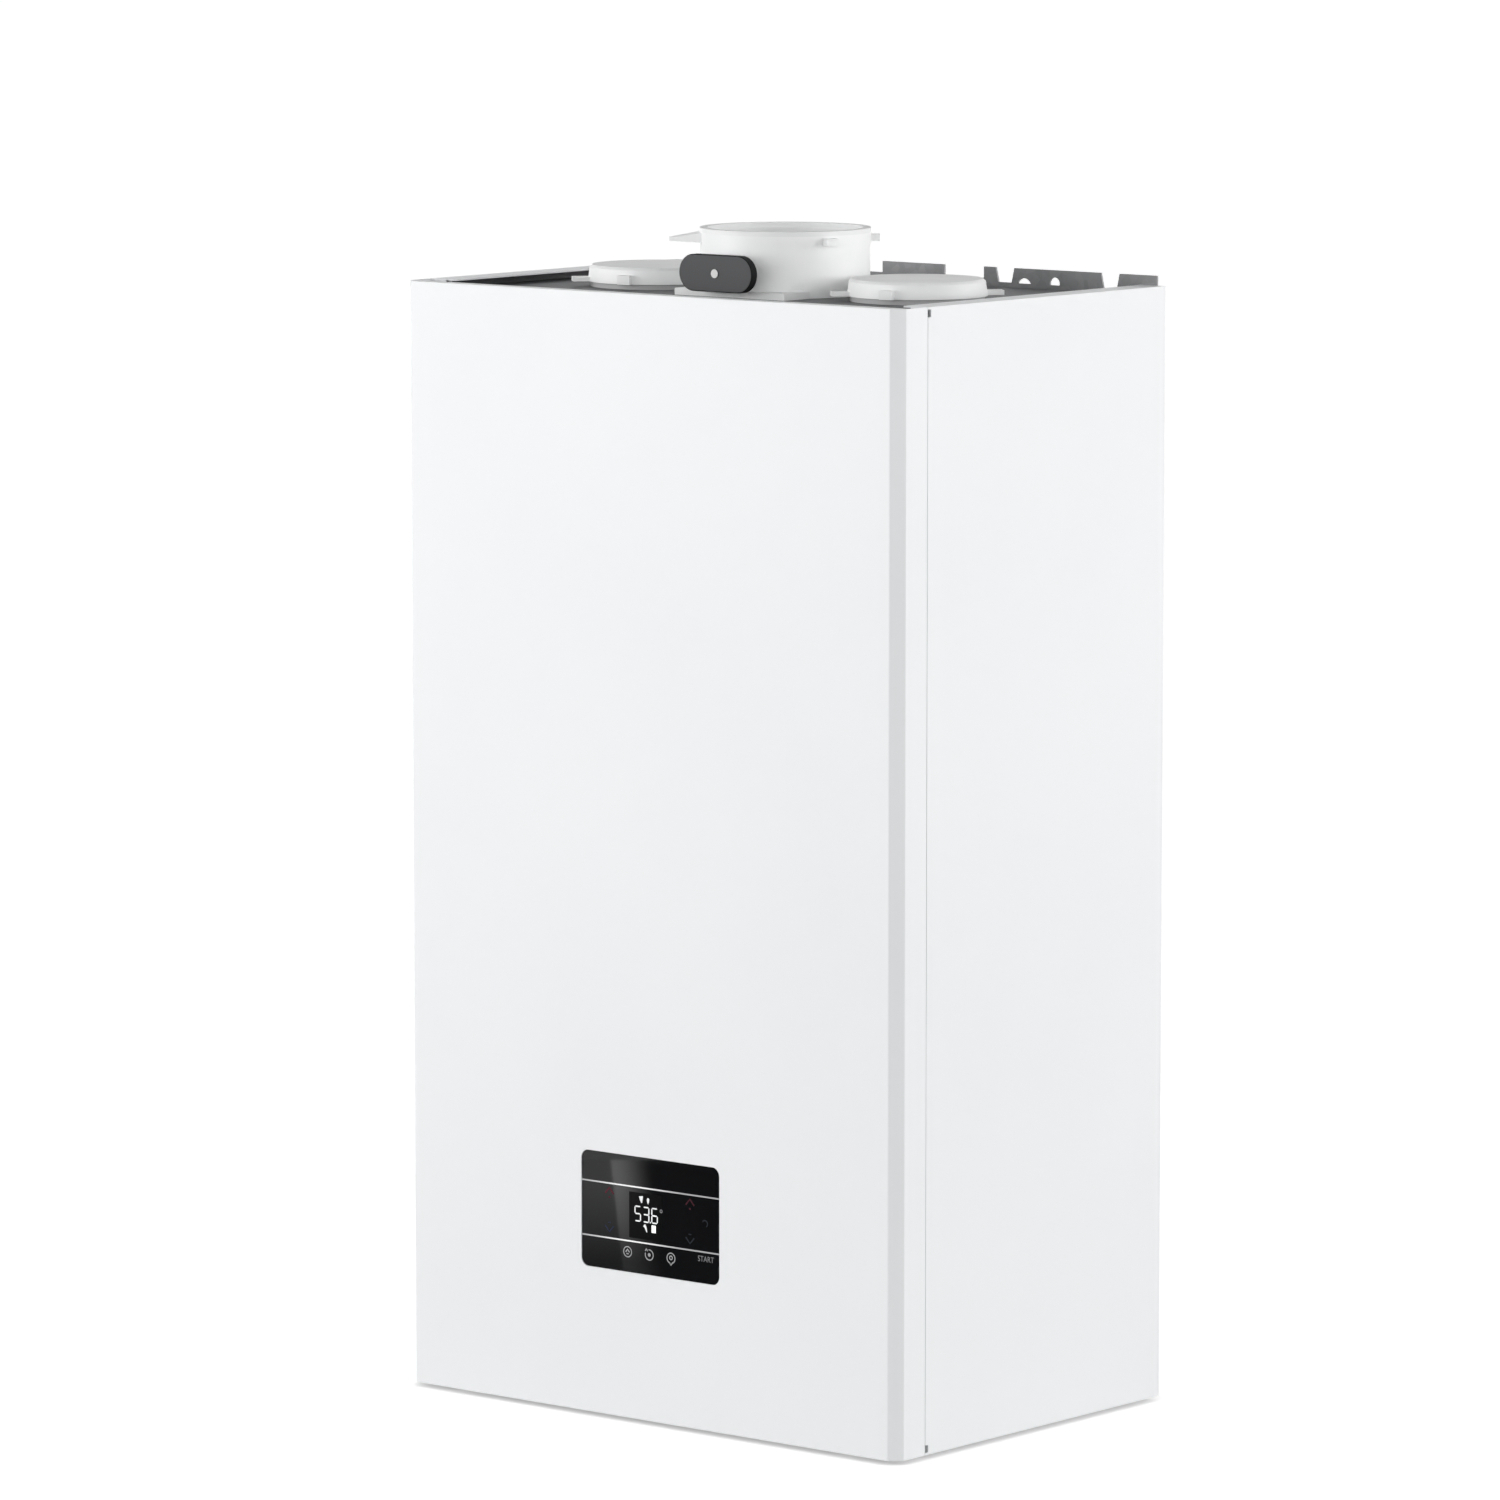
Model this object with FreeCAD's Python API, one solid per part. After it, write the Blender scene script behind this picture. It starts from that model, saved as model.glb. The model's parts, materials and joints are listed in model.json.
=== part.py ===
import FreeCAD, Part
import math
import os

# Wall-hung condensing boiler, in millimetres. The origin lies on the wall plane at the middle of the
# casing's lower edge: +X to the right, +Y into the wall, +Z up. The front cover faces -Y.

# Casing sheets
casing_width = 420.0
casing_height = 740.0
casing_depth = 280.0
outer_sheet = 1.0
chassis_sheet = 1.5
corner_facet = 7.5
bend_radius = 1.5
cover_return = 29.0
cover_lip = 12.0
cover_flange = 3.0
cover_foot_rise = 4.0
seam_gap = 0.6
seal_thickness = 4.6
seal_width = 8.0
seal_end_gap = 15.0
seal_top_gap = 1.2
side_top_flange = 20.0
side_bottom_flange = 14.0
relief_edge = 1.5
relief_height = 5.0
relief_depth = 3.0
top_plate_drop = 6.5
top_plate_front_gap = 1.0
top_plate_skirt = 16.0
top_plate_lip = 5.0
bottom_plate_height = 30.0
plate_side_gap = 2.0

# Back panel: hanger tabs, notches and wall bolts
hanger_rise = 6.5
hanger_gap_depth = 1.0
centre_tab = 53.0
finger_tab_start = 60.0
outer_tab_edge = 5.0
left_tab_edge = 25.0
notch_width = 15.5
notch_floor_width = 11.2
notch_depth = 3.3
inner_notch_offset = 77.8
outer_notch_edge = 43.5
large_tab_hole_offset = 94.0
large_tab_hole_drop = 6.0
large_tab_hole_radius = 6.1
small_tab_hole_offset = 119.6
small_tab_hole_drop = 2.4
small_tab_hole_radius = 4.1
tab_hole_floor_drop = 3.5
wall_bolt_spacing = 240.0
wall_bolt_drop = 23.0
wall_bolt_radius = 5.5
back_flange = 20.0
back_flange_end_gap = 45.0

# Screws
screw_radius = 2.0
screw_head_radius = 4.0
screw_head_height = 2.4
screw_clearance = 0.25
cover_screw_side_gap = 30.0
cover_screw_setback = 10.0
cover_screw_length = 9.0
cover_tab_width = 24.0

# Flue collar, sampling plug and air-port caps
collar_distance = 137.0
collar_radius = 56.5
collar_bore = 50.4
collar_rise = 37.0
collar_floor = 6.0
collar_seal_height = 3.0
collar_seal_bore_gap = 0.8
flue_bore = 30.4
flue_wall = 3.6
flue_socket_depth = 34.0
flue_seal_height = 3.0
flue_seal_width = 5.0
air_slot_count = 6
air_slot_angle = 40.0
air_slot_edge = 2.5
collar_band_step = 0.5
foot_slot_angle = -42.3
foot_slot_width = 8.5
foot_slot_height = 2.5
foot_slot_depth = 2.0
foot_slot_rise = 6.0
lug_angles = (99.6, 219.6)
lug_root_height = 6.7
lug_tip_height = 2.4
lug_tip_fall = 3.6
lug_length = 20.0
lug_root_width = 26.0
lug_tip_width = 9.0
lug_hole_radius = 2.2
stop_angles = (-20.4, 39.6)
stop_drop = 1.5
stop_height = 4.6
stop_length = 5.7
stop_width = 9.0
base_half_width = 46.5
base_front = 58.0
base_height = 4.5
boss_width = 35.5
boss_height = 15.0
boss_front = 66.7
boss_rise = 16.5
plug_width = 61.9
plug_height = 24.3
plug_thickness = 5.8
plug_edge = 0.8
plug_button_radius = 3.0
plug_button_height = 0.6
sampling_hole_spacing = 22.0
sampling_hole_radius = 5.0
plug_stem_length = 9.0
plug_stem_clearance = 0.3
air_port_offset = 111.0
air_port_bore = 40.0
port_gasket_radius = 44.0
port_gasket_height = 3.5
cap_radius = 46.0
cap_top_radius = 44.6
cap_height = 11.0
cap_edge = 1.6
cap_wall = 2.6
cap_spigot_clearance = 0.6
cap_spigot_depth = 9.0
cap_lug_angle = 47.0
cap_lug_length = 10.5
cap_lug_width = 11.0
cap_lug_height = 3.0
cap_lug_clearance = 1.0
cap_clip_angle = -76.0
cap_clip_width = 9.0
cap_clip_length = 4.0
cap_clip_height = 6.0

# Display and control box
display_offset = 3.0
display_centre_height = 136.0
display_width = 117.5
display_height = 77.0
display_corner = 5.5
display_glass_thickness = 2.5
display_recess = 0.3
window_clearance = 0.35
display_rim = 3.0
box_side_gap = 39.0
box_bottom = 46.0
box_height = 168.0
box_depth = 56.0
box_front_gap = 8.0
box_wall = 2.5
box_corner = 8.0
lid_thickness = 2.0
lid_clearance = 0.2
board_thickness = 1.6
board_edge_gap = 14.0
board_boss_radius = 4.0
board_boss_length = 30.0
relay_count = 4
relay_pitch = 27.0
relay_width = 18.0
relay_depth = 12.0
relay_height = 22.0
transformer_width = 46.0
transformer_depth = 14.0
transformer_height = 40.0
pivot_setback = 10.0
pivot_rise = 8.0
pivot_radius = 4.0
pivot_length = 8.0
running_clearance = 0.06
bracket_gap = 2.0
bracket_height = 34.0
bracket_foot = 22.0
bracket_reach = 30.0

# Expansion vessel and exchanger bracket
vessel_width = 250.0
vessel_depth = 80.0
vessel_corner = 60.0
vessel_edge = 22.0
vessel_wall = 1.5
vessel_bottom = 265.0
vessel_top_gap = 38.0
vessel_clearance = 5.0
diaphragm_thickness = 2.0
diaphragm_clearance = 0.1
vessel_pipe_run = 54.0
vessel_pipe_radius = 5.0
bracket_leg_gap = 20.0
exchanger_bracket_height = 90.0
bracket_foot_width = 16.0
bracket_screw_spacing = 60.0

# Heat exchanger, burner and door
pipe_zone = 50.0
exchanger_drop = 195.0
shell_wall = 2.0
shell_back_wall = 3.0
shell_flange_width = 9.0
shell_flange_thickness = 3.0
spigot_reach = 14.0
flue_spigot_rise = 24.0
flue_seat_rise = 3.0
flue_pipe_top_gap = 12.0
flue_pipe_wall = 1.8
flue_fit_clearance = 0.3
drain_radius = 12.0
drain_bore = 8.0
drain_length = 20.0
drain_forward = 27.0
coil_gap = 5.0
coil_turns = 5
coil_wall = 1.0
coil_spacing = 4.0
spigot_radius = 11.0
spigot_bore = 9.0
spigot_clearance = 0.3
header_thickness = 9.0
header_width = 18.0
flow_spigot_rise = 15.0
return_spigot_drop = 45.0
door_thickness = 8.0
door_margin = 2.0
door_bore = 31.0
burner_radius = 34.0
burner_wall = 1.5
burner_flange_radius = 44.0
burner_gap = 24.5
burner_end_gap = 42.0
door_nut_count = 6
door_nut_first_angle = 15.0
door_nut_across = 10.0
door_nut_height = 5.0
door_stud_radius = 3.0
door_stud_length = 9.0
door_nut_inset = 6.0
electrode_circle = 53.0
electrode_angle = 225.0
electrode_spacing = 12.0
ceramic_radius = 4.0
ceramic_length = 24.0
electrode_flange = 3.0
electrode_rod_radius = 1.2
electrode_rod_length = 60.0

# Fan, hood, mixer and silencer
hood_radius = 44.0
hood_depth = 29.0
hood_front_gap = 18.0
hood_wall = 3.0
hood_bore = 29.0
hood_lower_angle = -40.0
hood_upper_angle = 120.0
fan_left = 63.0
fan_depth = 45.0
fan_wall = 3.0
fan_rise = 45.0
fan_overlap = 3.0
fan_scroll_gap = 6.0
fan_outlet_gap = 9.0
fan_outlet_height = 40.0
fan_inlet_radius = 29.0
fan_shaft_hole = 6.0
impeller_end_gap = 4.0
impeller_plate = 2.5
impeller_hub_radius = 12.0
impeller_blade_count = 24
impeller_blade_length = 17.0
impeller_blade_thickness = 1.6
fan_shaft_radius = 4.0
fan_motor_radius = 40.0
fan_motor_depth = 12.0
shaft_end_gap = 1.0
motor_end_wall = 3.0
mixer_radius = 33.0
mixer_length = 44.0
mixer_throat = 22.0
mixer_mouth = 28.0
gas_boss_radius = 12.0
gas_boss_length = 8.0
gas_port_setback = 16.0
silencer_radius = 31.0
silencer_wall = 2.0
silencer_gap = 20.0
silencer_mouth = 4.0

# Gas train
gas_valve_width = 70.0
gas_valve_depth = 62.0
gas_valve_height = 84.0
gas_valve_drop = 40.0
gas_valve_corner = 6.0
gas_coil_radius = 15.0
gas_coil_length = 24.0
gas_coil_spacing = 36.0
gas_pipe_radius = 8.0
gas_pipe_bore = 6.8
gas_nut_across = 26.0
gas_nut_height = 12.0
gas_pipe_bend = 24.0
gas_pipe_drop = 34.0
gas_pipe_fall = 10.0

# Pipe connections through the bottom plate
connection_distance = 98.0
large_thread_radius = 13.2
small_thread_radius = 10.5
connection_wall = 3.0
connection_drop = 22.0
thread_relief_depth = 0.6
thread_relief_length = 1.0
large_hexagon = 32.0
small_hexagon = 26.0
hexagon_height = 13.5
plate_hole_clearance = 0.8

# Water groups, pump and plate exchanger
group_width = 60.0
group_side_gap = 45.0
group_front = 30.0
group_depth = 120.0
group_height = 105.0
group_corner = 6.0
water_pipe_radius = 9.0
water_pipe_bore = 8.0
water_pipe_bend = 18.0
flow_pipe_run = 5.0
flow_entry_rise = 65.0
flow_pipe_setback = 20.0
return_pipe_forward = 12.0
valve_spindle_radius = 4.0
valve_disc_radius = 13.0
valve_disc_height = 8.0
valve_chamber_radius = 15.0
valve_chamber_floor = 25.0
valve_chamber_height = 60.0
valve_disc_lift = 14.0
valve_travel = 8.0
spindle_end_gap = 4.0
actuator_bore_depth = 34.0
actuator_width = 46.0
actuator_depth = 52.0
actuator_height = 66.0
actuator_corner = 5.0
volute_radius = 46.0
volute_depth = 40.0
volute_chamber_radius = 38.0
volute_wall = 4.0
volute_rise = 48.0
pump_outlet_offset = 24.0
pump_outlet_radius = 13.0
pump_boss_rise = 4.0
pump_impeller_radius = 34.0
pump_impeller_gap = 4.0
pump_plate = 2.5
pump_hub_radius = 9.0
pump_vane_count = 6
pump_vane_thickness = 2.5
pump_shaft_radius = 5.0
pump_motor_radius = 43.0
pump_motor_front_gap = 10.0
pump_terminal_width = 50.0
pump_terminal_height = 6.0
vent_radius = 14.0
vent_height = 44.0
vent_cap_radius = 6.0
vent_cap_height = 8.0
vent_offset = 20.0
plate_pack_depth = 70.0
plate_pack_height = 44.0
plate_pack_rise = 20.0
plate_pack_setback = 2.0
plate_count = 10
plate_thickness = 1.8
plate_lip = 2.0
plate_pack_wall = 1.5
domestic_pipe_radius = 7.5
domestic_pipe_bore = 6.5
domestic_pipe_bend = 14.0

# Valves and sensors
safety_radius = 14.0
safety_rise = 70.0
safety_discharge_radius = 7.0
safety_discharge_bore = 5.5
safety_discharge_setback = 17.0
safety_stem_radius = 4.0
safety_stem_length = 9.0
safety_knob_radius = 17.0
safety_knob_length = 15.0
safety_front_gap = 3.0
knob_gap = 0.3
knob_flute_count = 8
knob_flute_radius = 4.0
pressure_sensor_radius = 9.0
pressure_sensor_length = 26.0
pressure_sensor_inset = 13.5
pressure_sensor_across = 20.0
pressure_sensor_rise = 30.0
flow_sensor_radius = 15.0
flow_sensor_bore = 10.5
flow_sensor_height = 32.0
flow_sensor_bar = 3.0
turbine_radius = 9.5
turbine_hub_radius = 3.0
turbine_vane_count = 4
turbine_vane_thickness = 1.5
turbine_axle_radius = 1.2
turbine_end_gap = 2.0
filling_offset = 35.0
filling_forward = 34.0
filling_body_radius = 13.0
filling_body_height = 28.0
filling_stem_radius = 5.0
filling_stem_engagement = 16.0
filling_knob_radius = 14.0
filling_knob_height = 14.0
filling_knob_gap = 4.0

# Condensate trap and cable glands
trap_radius = 26.0
trap_front_gap = 6.0
trap_foot_radius = 19.0
trap_foot_height = 26.0
trap_height = 130.0
trap_edge = 4.0
trap_nozzle_height = 15.0
trap_outlet_radius = 12.5
trap_outlet_bore = 10.0
hose_bend = 34.0
gland_side_gap = 31.0
gland_spacing = 28.0
gland_distance = 150.0
gland_radius = 8.0
gland_bore = 4.0
gland_across = 20.0
gland_flange = 6.0
gland_rise = 14.0
gland_drop = 12.0

# Planes and axes worked out from the sizes above
half_width = casing_width / 2
inner_half = half_width - outer_sheet
front_y = -casing_depth
cover_rear_y = front_y + cover_return
side_front_y = cover_rear_y + seam_gap
seal_rear_y = cover_rear_y + seal_thickness
chassis_front_y = seal_rear_y + outer_sheet
back_face_y = -chassis_sheet
top_plate_z = casing_height - top_plate_drop
floor_z = bottom_plate_height + chassis_sheet
chassis_half = inner_half - cover_lip - plate_side_gap
cover_foot_z = cover_foot_rise + outer_sheet
cover_screw_x = chassis_half - cover_screw_side_gap
cover_screw_y = front_y + cover_screw_setback
collar_y = -collar_distance
collar_floor_z = top_plate_z + collar_floor
collar_rim_z = casing_height + collar_rise
collar_wall_top = collar_rim_z - collar_seal_height
collar_band_z = collar_wall_top - lug_root_height
boss_z = top_plate_z + boss_rise
boss_y = collar_y - boss_front
port_z = top_plate_z + port_gasket_height
box_half = inner_half - box_side_gap
box_front_y = front_y + box_front_gap
box_rear_y = box_front_y + box_depth
box_top = box_bottom + box_height
pivot_y = box_front_y + pivot_setback
pivot_z = box_bottom + pivot_rise
glass_front_y = front_y + display_recess
glass_rear_y = glass_front_y + display_glass_thickness
vessel_front_y = back_face_y - vessel_depth
exchanger_back_y = vessel_front_y - vessel_clearance - chassis_sheet
hood_front_y = front_y + hood_front_gap
door_front_y = hood_front_y + hood_depth
door_rear_y = door_front_y + door_thickness
shell_front_y = door_rear_y + shell_flange_thickness
fan_radius = (chassis_half - fan_left) / 2
fan_x = chassis_half - fan_radius
exchanger_left = -inner_half + pipe_zone
exchanger_right = fan_left + fan_overlap
exchanger_x = (exchanger_left + exchanger_right) / 2
exchanger_z = casing_height - exchanger_drop
flange_radius = (exchanger_right - exchanger_left) / 2
shell_radius = flange_radius - shell_flange_width
shell_bore = shell_radius - shell_wall
coil_radius = shell_bore - coil_gap
coil_bore = burner_radius + burner_gap
burner_end_y = exchanger_back_y - shell_back_wall - burner_end_gap
fan_z = exchanger_z + fan_rise
fan_rear_y = hood_front_y + fan_depth
hood_end_x = fan_left - fan_outlet_gap
fan_outlet_top = fan_z + fan_radius
fan_outlet_bottom = fan_outlet_top - fan_outlet_height
impeller_radius = fan_radius - fan_wall - fan_scroll_gap
mixer_rear_y = fan_rear_y + mixer_length
gas_port_y = fan_rear_y + gas_port_setback
gas_boss_z = fan_z - mixer_radius - gas_boss_length
gas_valve_top = gas_boss_z - gas_valve_drop
gas_valve_bottom = gas_valve_top - gas_valve_height
connection_y = -connection_distance
tail_z = bottom_plate_height - connection_drop
thread_top_z = bottom_plate_height - thread_relief_length
group_z = floor_z + hexagon_height
group_top = group_z + group_height
group_front_y = connection_y - group_front
group_rear_y = group_front_y + group_depth
group_x = inner_half - group_side_gap - group_width / 2
connection_spacing = group_x / 2
group_inner_x = group_x - group_width / 2
flow_pipe_x = -group_x - group_width / 2 - water_pipe_bend - flow_pipe_run
flow_pipe_y = group_front_y + flow_pipe_setback
return_pipe_y = connection_y - return_pipe_forward
flow_entry_z = group_z + flow_entry_rise
spindle_y = connection_y
volute_z = group_top + volute_rise
volute_front_y = return_pipe_y - volute_depth / 2
volute_rear_y = volute_front_y + volute_depth
pump_x = group_x
pump_outlet_x = pump_x + pump_outlet_offset
vent_x = pump_x - vent_offset
pump_top = volute_z + volute_radius + pump_boss_rise
pump_motor_front_y = box_rear_y + pump_motor_front_gap
plate_pack_z = group_z + plate_pack_rise
plate_pack_y = group_rear_y - plate_pack_setback
plate_pack_front_y = plate_pack_y - plate_pack_depth
domestic_z = plate_pack_z + plate_pack_height / 2
safety_z = group_z + safety_rise
safety_front_y = box_rear_y + safety_front_gap + safety_knob_length + knob_gap
flow_sensor_z = group_z + flow_sensor_height
gland_x = inner_half - gland_side_gap
filling_y = connection_y - filling_forward
trap_x = exchanger_x
trap_y = box_rear_y + trap_front_gap + trap_radius
trap_top = floor_z + trap_foot_height + trap_height
drain_y = exchanger_back_y - drain_forward
drain_z = exchanger_z - shell_radius - drain_length
vessel_top = casing_height - vessel_top_gap
bracket_half = vessel_width / 2 + bracket_leg_gap
flow_spigot_z = exchanger_z + flow_spigot_rise
return_spigot_z = exchanger_z - return_spigot_drop
spigot_left_x = exchanger_x - shell_radius - spigot_reach
spigot_right_x = exchanger_x + shell_radius + spigot_reach


def Vector(x, y, z):
    return FreeCAD.Vector(x, y, z)


def block(x, y, z):
    """Box between the two given values on each axis."""
    return Part.makeBox(x[1] - x[0], y[1] - y[0], z[1] - z[0], Vector(x[0], y[0], z[0]))


def rod(start, end, radius):
    """Solid cylinder from one point to another."""
    first = Vector(*start)
    axis = Vector(*end) - first
    return Part.makeCylinder(radius, axis.Length, first, axis)


def sleeve(start, end, outer, inner):
    """Hollow cylinder open at both ends."""
    return rod(start, end, outer).cut(rod(start, end, inner))


def union(first, *others):
    return first.fuse(list(others)).removeSplitter()


def cut(shape, *tools):
    return shape.cut(list(tools))


def group(*solids):
    return Part.makeCompound(list(solids))


def mirrored(shape):
    """The same shape on the other side of the boiler's middle plane."""
    return shape.mirror(Vector(0, 0, 0), Vector(1, 0, 0))


def turn_about(shape, centre, axis, angle):
    """Copy of the shape, turned by an angle in degrees."""
    copy = shape.copy()
    copy.rotate(Vector(*centre), Vector(*axis), angle)
    return copy


def edges_along(shape, axis):
    """Straight edges that run along an axis."""
    chosen = []
    for edge in shape.Edges:
        if abs(edge.tangentAt(edge.FirstParameter).dot(Vector(*axis))) > 0.999:
            chosen.append(edge)
    return chosen


def rounded_block(x, y, z, radius, axis):
    """Box whose edges along one axis are rounded."""
    box = block(x, y, z)
    return box.makeFillet(radius, edges_along(box, axis))


def hexagon(start, end, across):
    """Six-sided prism on an axis that lies in the plane x = constant."""
    first = Vector(*start)
    axis = Vector(*end) - first
    side = Vector(1, 0, 0)
    other = axis.cross(side).normalize()
    radius = across / math.sqrt(3)
    corners = []
    for step in range(7):
        angle = math.radians(60 * step)
        corners.append(first + side * (radius * math.cos(angle)) + other * (radius * math.sin(angle)))
    return Part.Face(Part.makePolygon(corners)).extrude(axis)


def prism(points, direction):
    """Closed polygon of 3-D points, extruded along a direction."""
    corners = [Vector(*point) for point in points]
    return Part.Face(Part.makePolygon(corners + corners[:1])).extrude(Vector(*direction))


def stadium(x, z, width, height, front, rear):
    """Slot-shaped prism along Y with round ends to the left and right."""
    radius = height / 2
    reach = width / 2 - radius
    middle = block((x - reach, x + reach), (front, rear), (z - radius, z + radius))
    left = rod((x - reach, front, z), (x - reach, rear, z), radius)
    right = rod((x + reach, front, z), (x + reach, rear, z), radius)
    return union(middle, left, right)


def turned(outline, x, y):
    """Solid of revolution about the vertical axis at x, y from (radius, height) corners."""
    corners = [Vector(x + radius, y, height) for radius, height in outline]
    face = Part.Face(Part.makePolygon(corners + corners[:1]))
    return face.revolve(Vector(x, y, 0), Vector(0, 0, 1), 360)


def bent_path(points, bend):
    """Straight runs joined by tangent arcs of one bend radius."""
    corners = [Vector(*point) for point in points]
    edges = []
    start = corners[0]
    for before, corner, after in zip(corners, corners[1:], corners[2:]):
        back = (before - corner).normalize()
        ahead = (after - corner).normalize()
        half_angle = back.getAngle(ahead) / 2
        reach = bend / math.tan(half_angle)
        towards_centre = (back + ahead).normalize()
        depth = bend / math.sin(half_angle) - bend
        entry = corner + back * reach
        leave = corner + ahead * reach
        edges.append(Part.LineSegment(start, entry).toShape())
        edges.append(Part.Arc(entry, corner + towards_centre * depth, leave).toShape())
        start = leave
    edges.append(Part.LineSegment(start, corners[-1]).toShape())
    return Part.Wire(edges)


def bent_rod(points, radius, bend):
    """Solid of round section along a bent path."""
    first = Vector(*points[0])
    section = Part.Wire(Part.makeCircle(radius, first, Vector(*points[1]) - first))
    return bent_path(points, bend).makePipeShell([section], True, False)


def bent_tube(points, outer, inner, bend):
    return bent_rod(points, outer, bend).cut(bent_rod(points, inner, bend))


def cover_prism(inset, rear, bottom, top):
    """Upright prism inside the cover's plan outline: each front corner is a flat facet between two bends."""
    half = half_width - inset
    front = front_y + inset
    facet = corner_facet - inset * (2 - math.sqrt(2))
    body = prism(
        [
            (half, rear, bottom),
            (half, front + facet, bottom),
            (half - facet, front, bottom),
            (facet - half, front, bottom),
            (-half, front + facet, bottom),
            (-half, rear, bottom),
        ],
        (0, 0, top - bottom),
    )
    middle_y = (front + facet + rear) / 2
    bends = [edge for edge in edges_along(body, (0, 0, 1)) if edge.CenterOfMass.y < middle_y]
    return body.makeFillet(bend_radius - inset, bends)


def display_block(margin, front, rear):
    """Rounded plate behind the cover's window, larger than the glass by a margin all round."""
    across = display_width / 2 + margin
    up = display_height / 2 + margin
    return rounded_block(
        (display_offset - across, display_offset + across),
        (front, rear),
        (display_centre_height - up, display_centre_height + up),
        display_corner + margin,
        (0, 1, 0),
    )


def both_sides(shape):
    return [shape, mirrored(shape)]


# Casing


def make_front_cover():
    """Sheet tray: front, bent corners, side returns with lips, and short top and bottom flanges."""
    flange_rear = front_y + corner_facet + cover_flange
    foot_rear = cover_screw_y + cover_screw_setback
    shell = cover_prism(0, cover_rear_y, 0, casing_height)
    shell = shell.cut(cover_prism(outer_sheet, cover_rear_y, 0, casing_height))
    top_flange = cover_prism(outer_sheet, flange_rear, casing_height - outer_sheet, casing_height)
    foot_flange = cover_prism(outer_sheet, foot_rear, cover_foot_rise, cover_foot_z)
    lip = block(
        (inner_half - cover_lip, inner_half),
        (cover_rear_y - outer_sheet, cover_rear_y),
        (0, casing_height),
    )
    tray = union(shell, top_flange, foot_flange, *both_sides(lip))
    window = display_block(window_clearance, front_y - outer_sheet, front_y + 2 * outer_sheet)
    hole = rod(
        (cover_screw_x, cover_screw_y, 0),
        (cover_screw_x, cover_screw_y, cover_foot_z + outer_sheet),
        screw_radius + screw_clearance,
    )
    return cut(tray, window, *both_sides(hole))


def make_cover_screws():
    """Two screws that go up through the foot flange into the open slots of the bottom plate's tabs."""
    head_z = cover_foot_rise - screw_head_height
    head = rod(
        (cover_screw_x, cover_screw_y, head_z),
        (cover_screw_x, cover_screw_y, cover_foot_rise),
        screw_head_radius,
    )
    shank = rod(
        (cover_screw_x, cover_screw_y, cover_foot_rise),
        (cover_screw_x, cover_screw_y, cover_foot_rise + cover_screw_length),
        screw_radius,
    )
    return group(*both_sides(union(head, shank)))


def make_right_side_panel():
    """Side sheet with a wide top flange, a bottom flange and a flange that backs the cover's seal."""
    sheet = block((inner_half, half_width), (side_front_y, 0), (0, casing_height))
    top = block(
        (half_width - side_top_flange, inner_half),
        (side_front_y, back_face_y),
        (casing_height - outer_sheet, casing_height),
    )
    cap_reach = cap_radius + cap_lug_length + cap_lug_clearance
    cap_base = (air_port_offset, collar_y, port_z)
    top = top.cut(rod(cap_base, (air_port_offset, collar_y, casing_height), cap_reach))
    bottom = block(
        (half_width - side_bottom_flange, inner_half),
        (chassis_front_y, back_face_y),
        (0, outer_sheet),
    )
    front = block(
        (inner_half - cover_lip, inner_half),
        (seal_rear_y, chassis_front_y),
        (0, casing_height - outer_sheet),
    )
    relief_top = casing_height - relief_edge
    upper_relief = block(
        (inner_half - outer_sheet, half_width),
        (side_front_y, side_front_y + relief_depth),
        (relief_top - relief_height, relief_top),
    )
    lower_relief = block(
        (inner_half - outer_sheet, half_width),
        (side_front_y, side_front_y + relief_depth),
        (relief_edge, relief_edge + relief_height),
    )
    return cut(union(sheet, top, bottom, front), upper_relief, lower_relief)


def make_hanger_notch(offset):
    """Notch, open upwards and narrower towards its floor, in the back panel's top edge."""
    low = casing_height - notch_depth
    high = casing_height + hanger_rise
    return prism(
        [
            (offset - notch_floor_width / 2, back_face_y, low),
            (offset + notch_floor_width / 2, back_face_y, low),
            (offset + notch_width / 2, back_face_y, high),
            (offset - notch_width / 2, back_face_y, high),
        ],
        (0, chassis_sheet, 0),
    )


def make_tab_hole(offset, drop, radius):
    """Round hole in a hanger tab, cut off level at its floor."""
    z = casing_height - drop
    hole = rod((offset, back_face_y, z), (offset, 0, z), radius)
    opening = block(
        (offset - radius, offset + radius),
        (back_face_y, 0),
        (casing_height - tab_hole_floor_drop, casing_height + hanger_rise),
    )
    return hole.common(opening)


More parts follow.
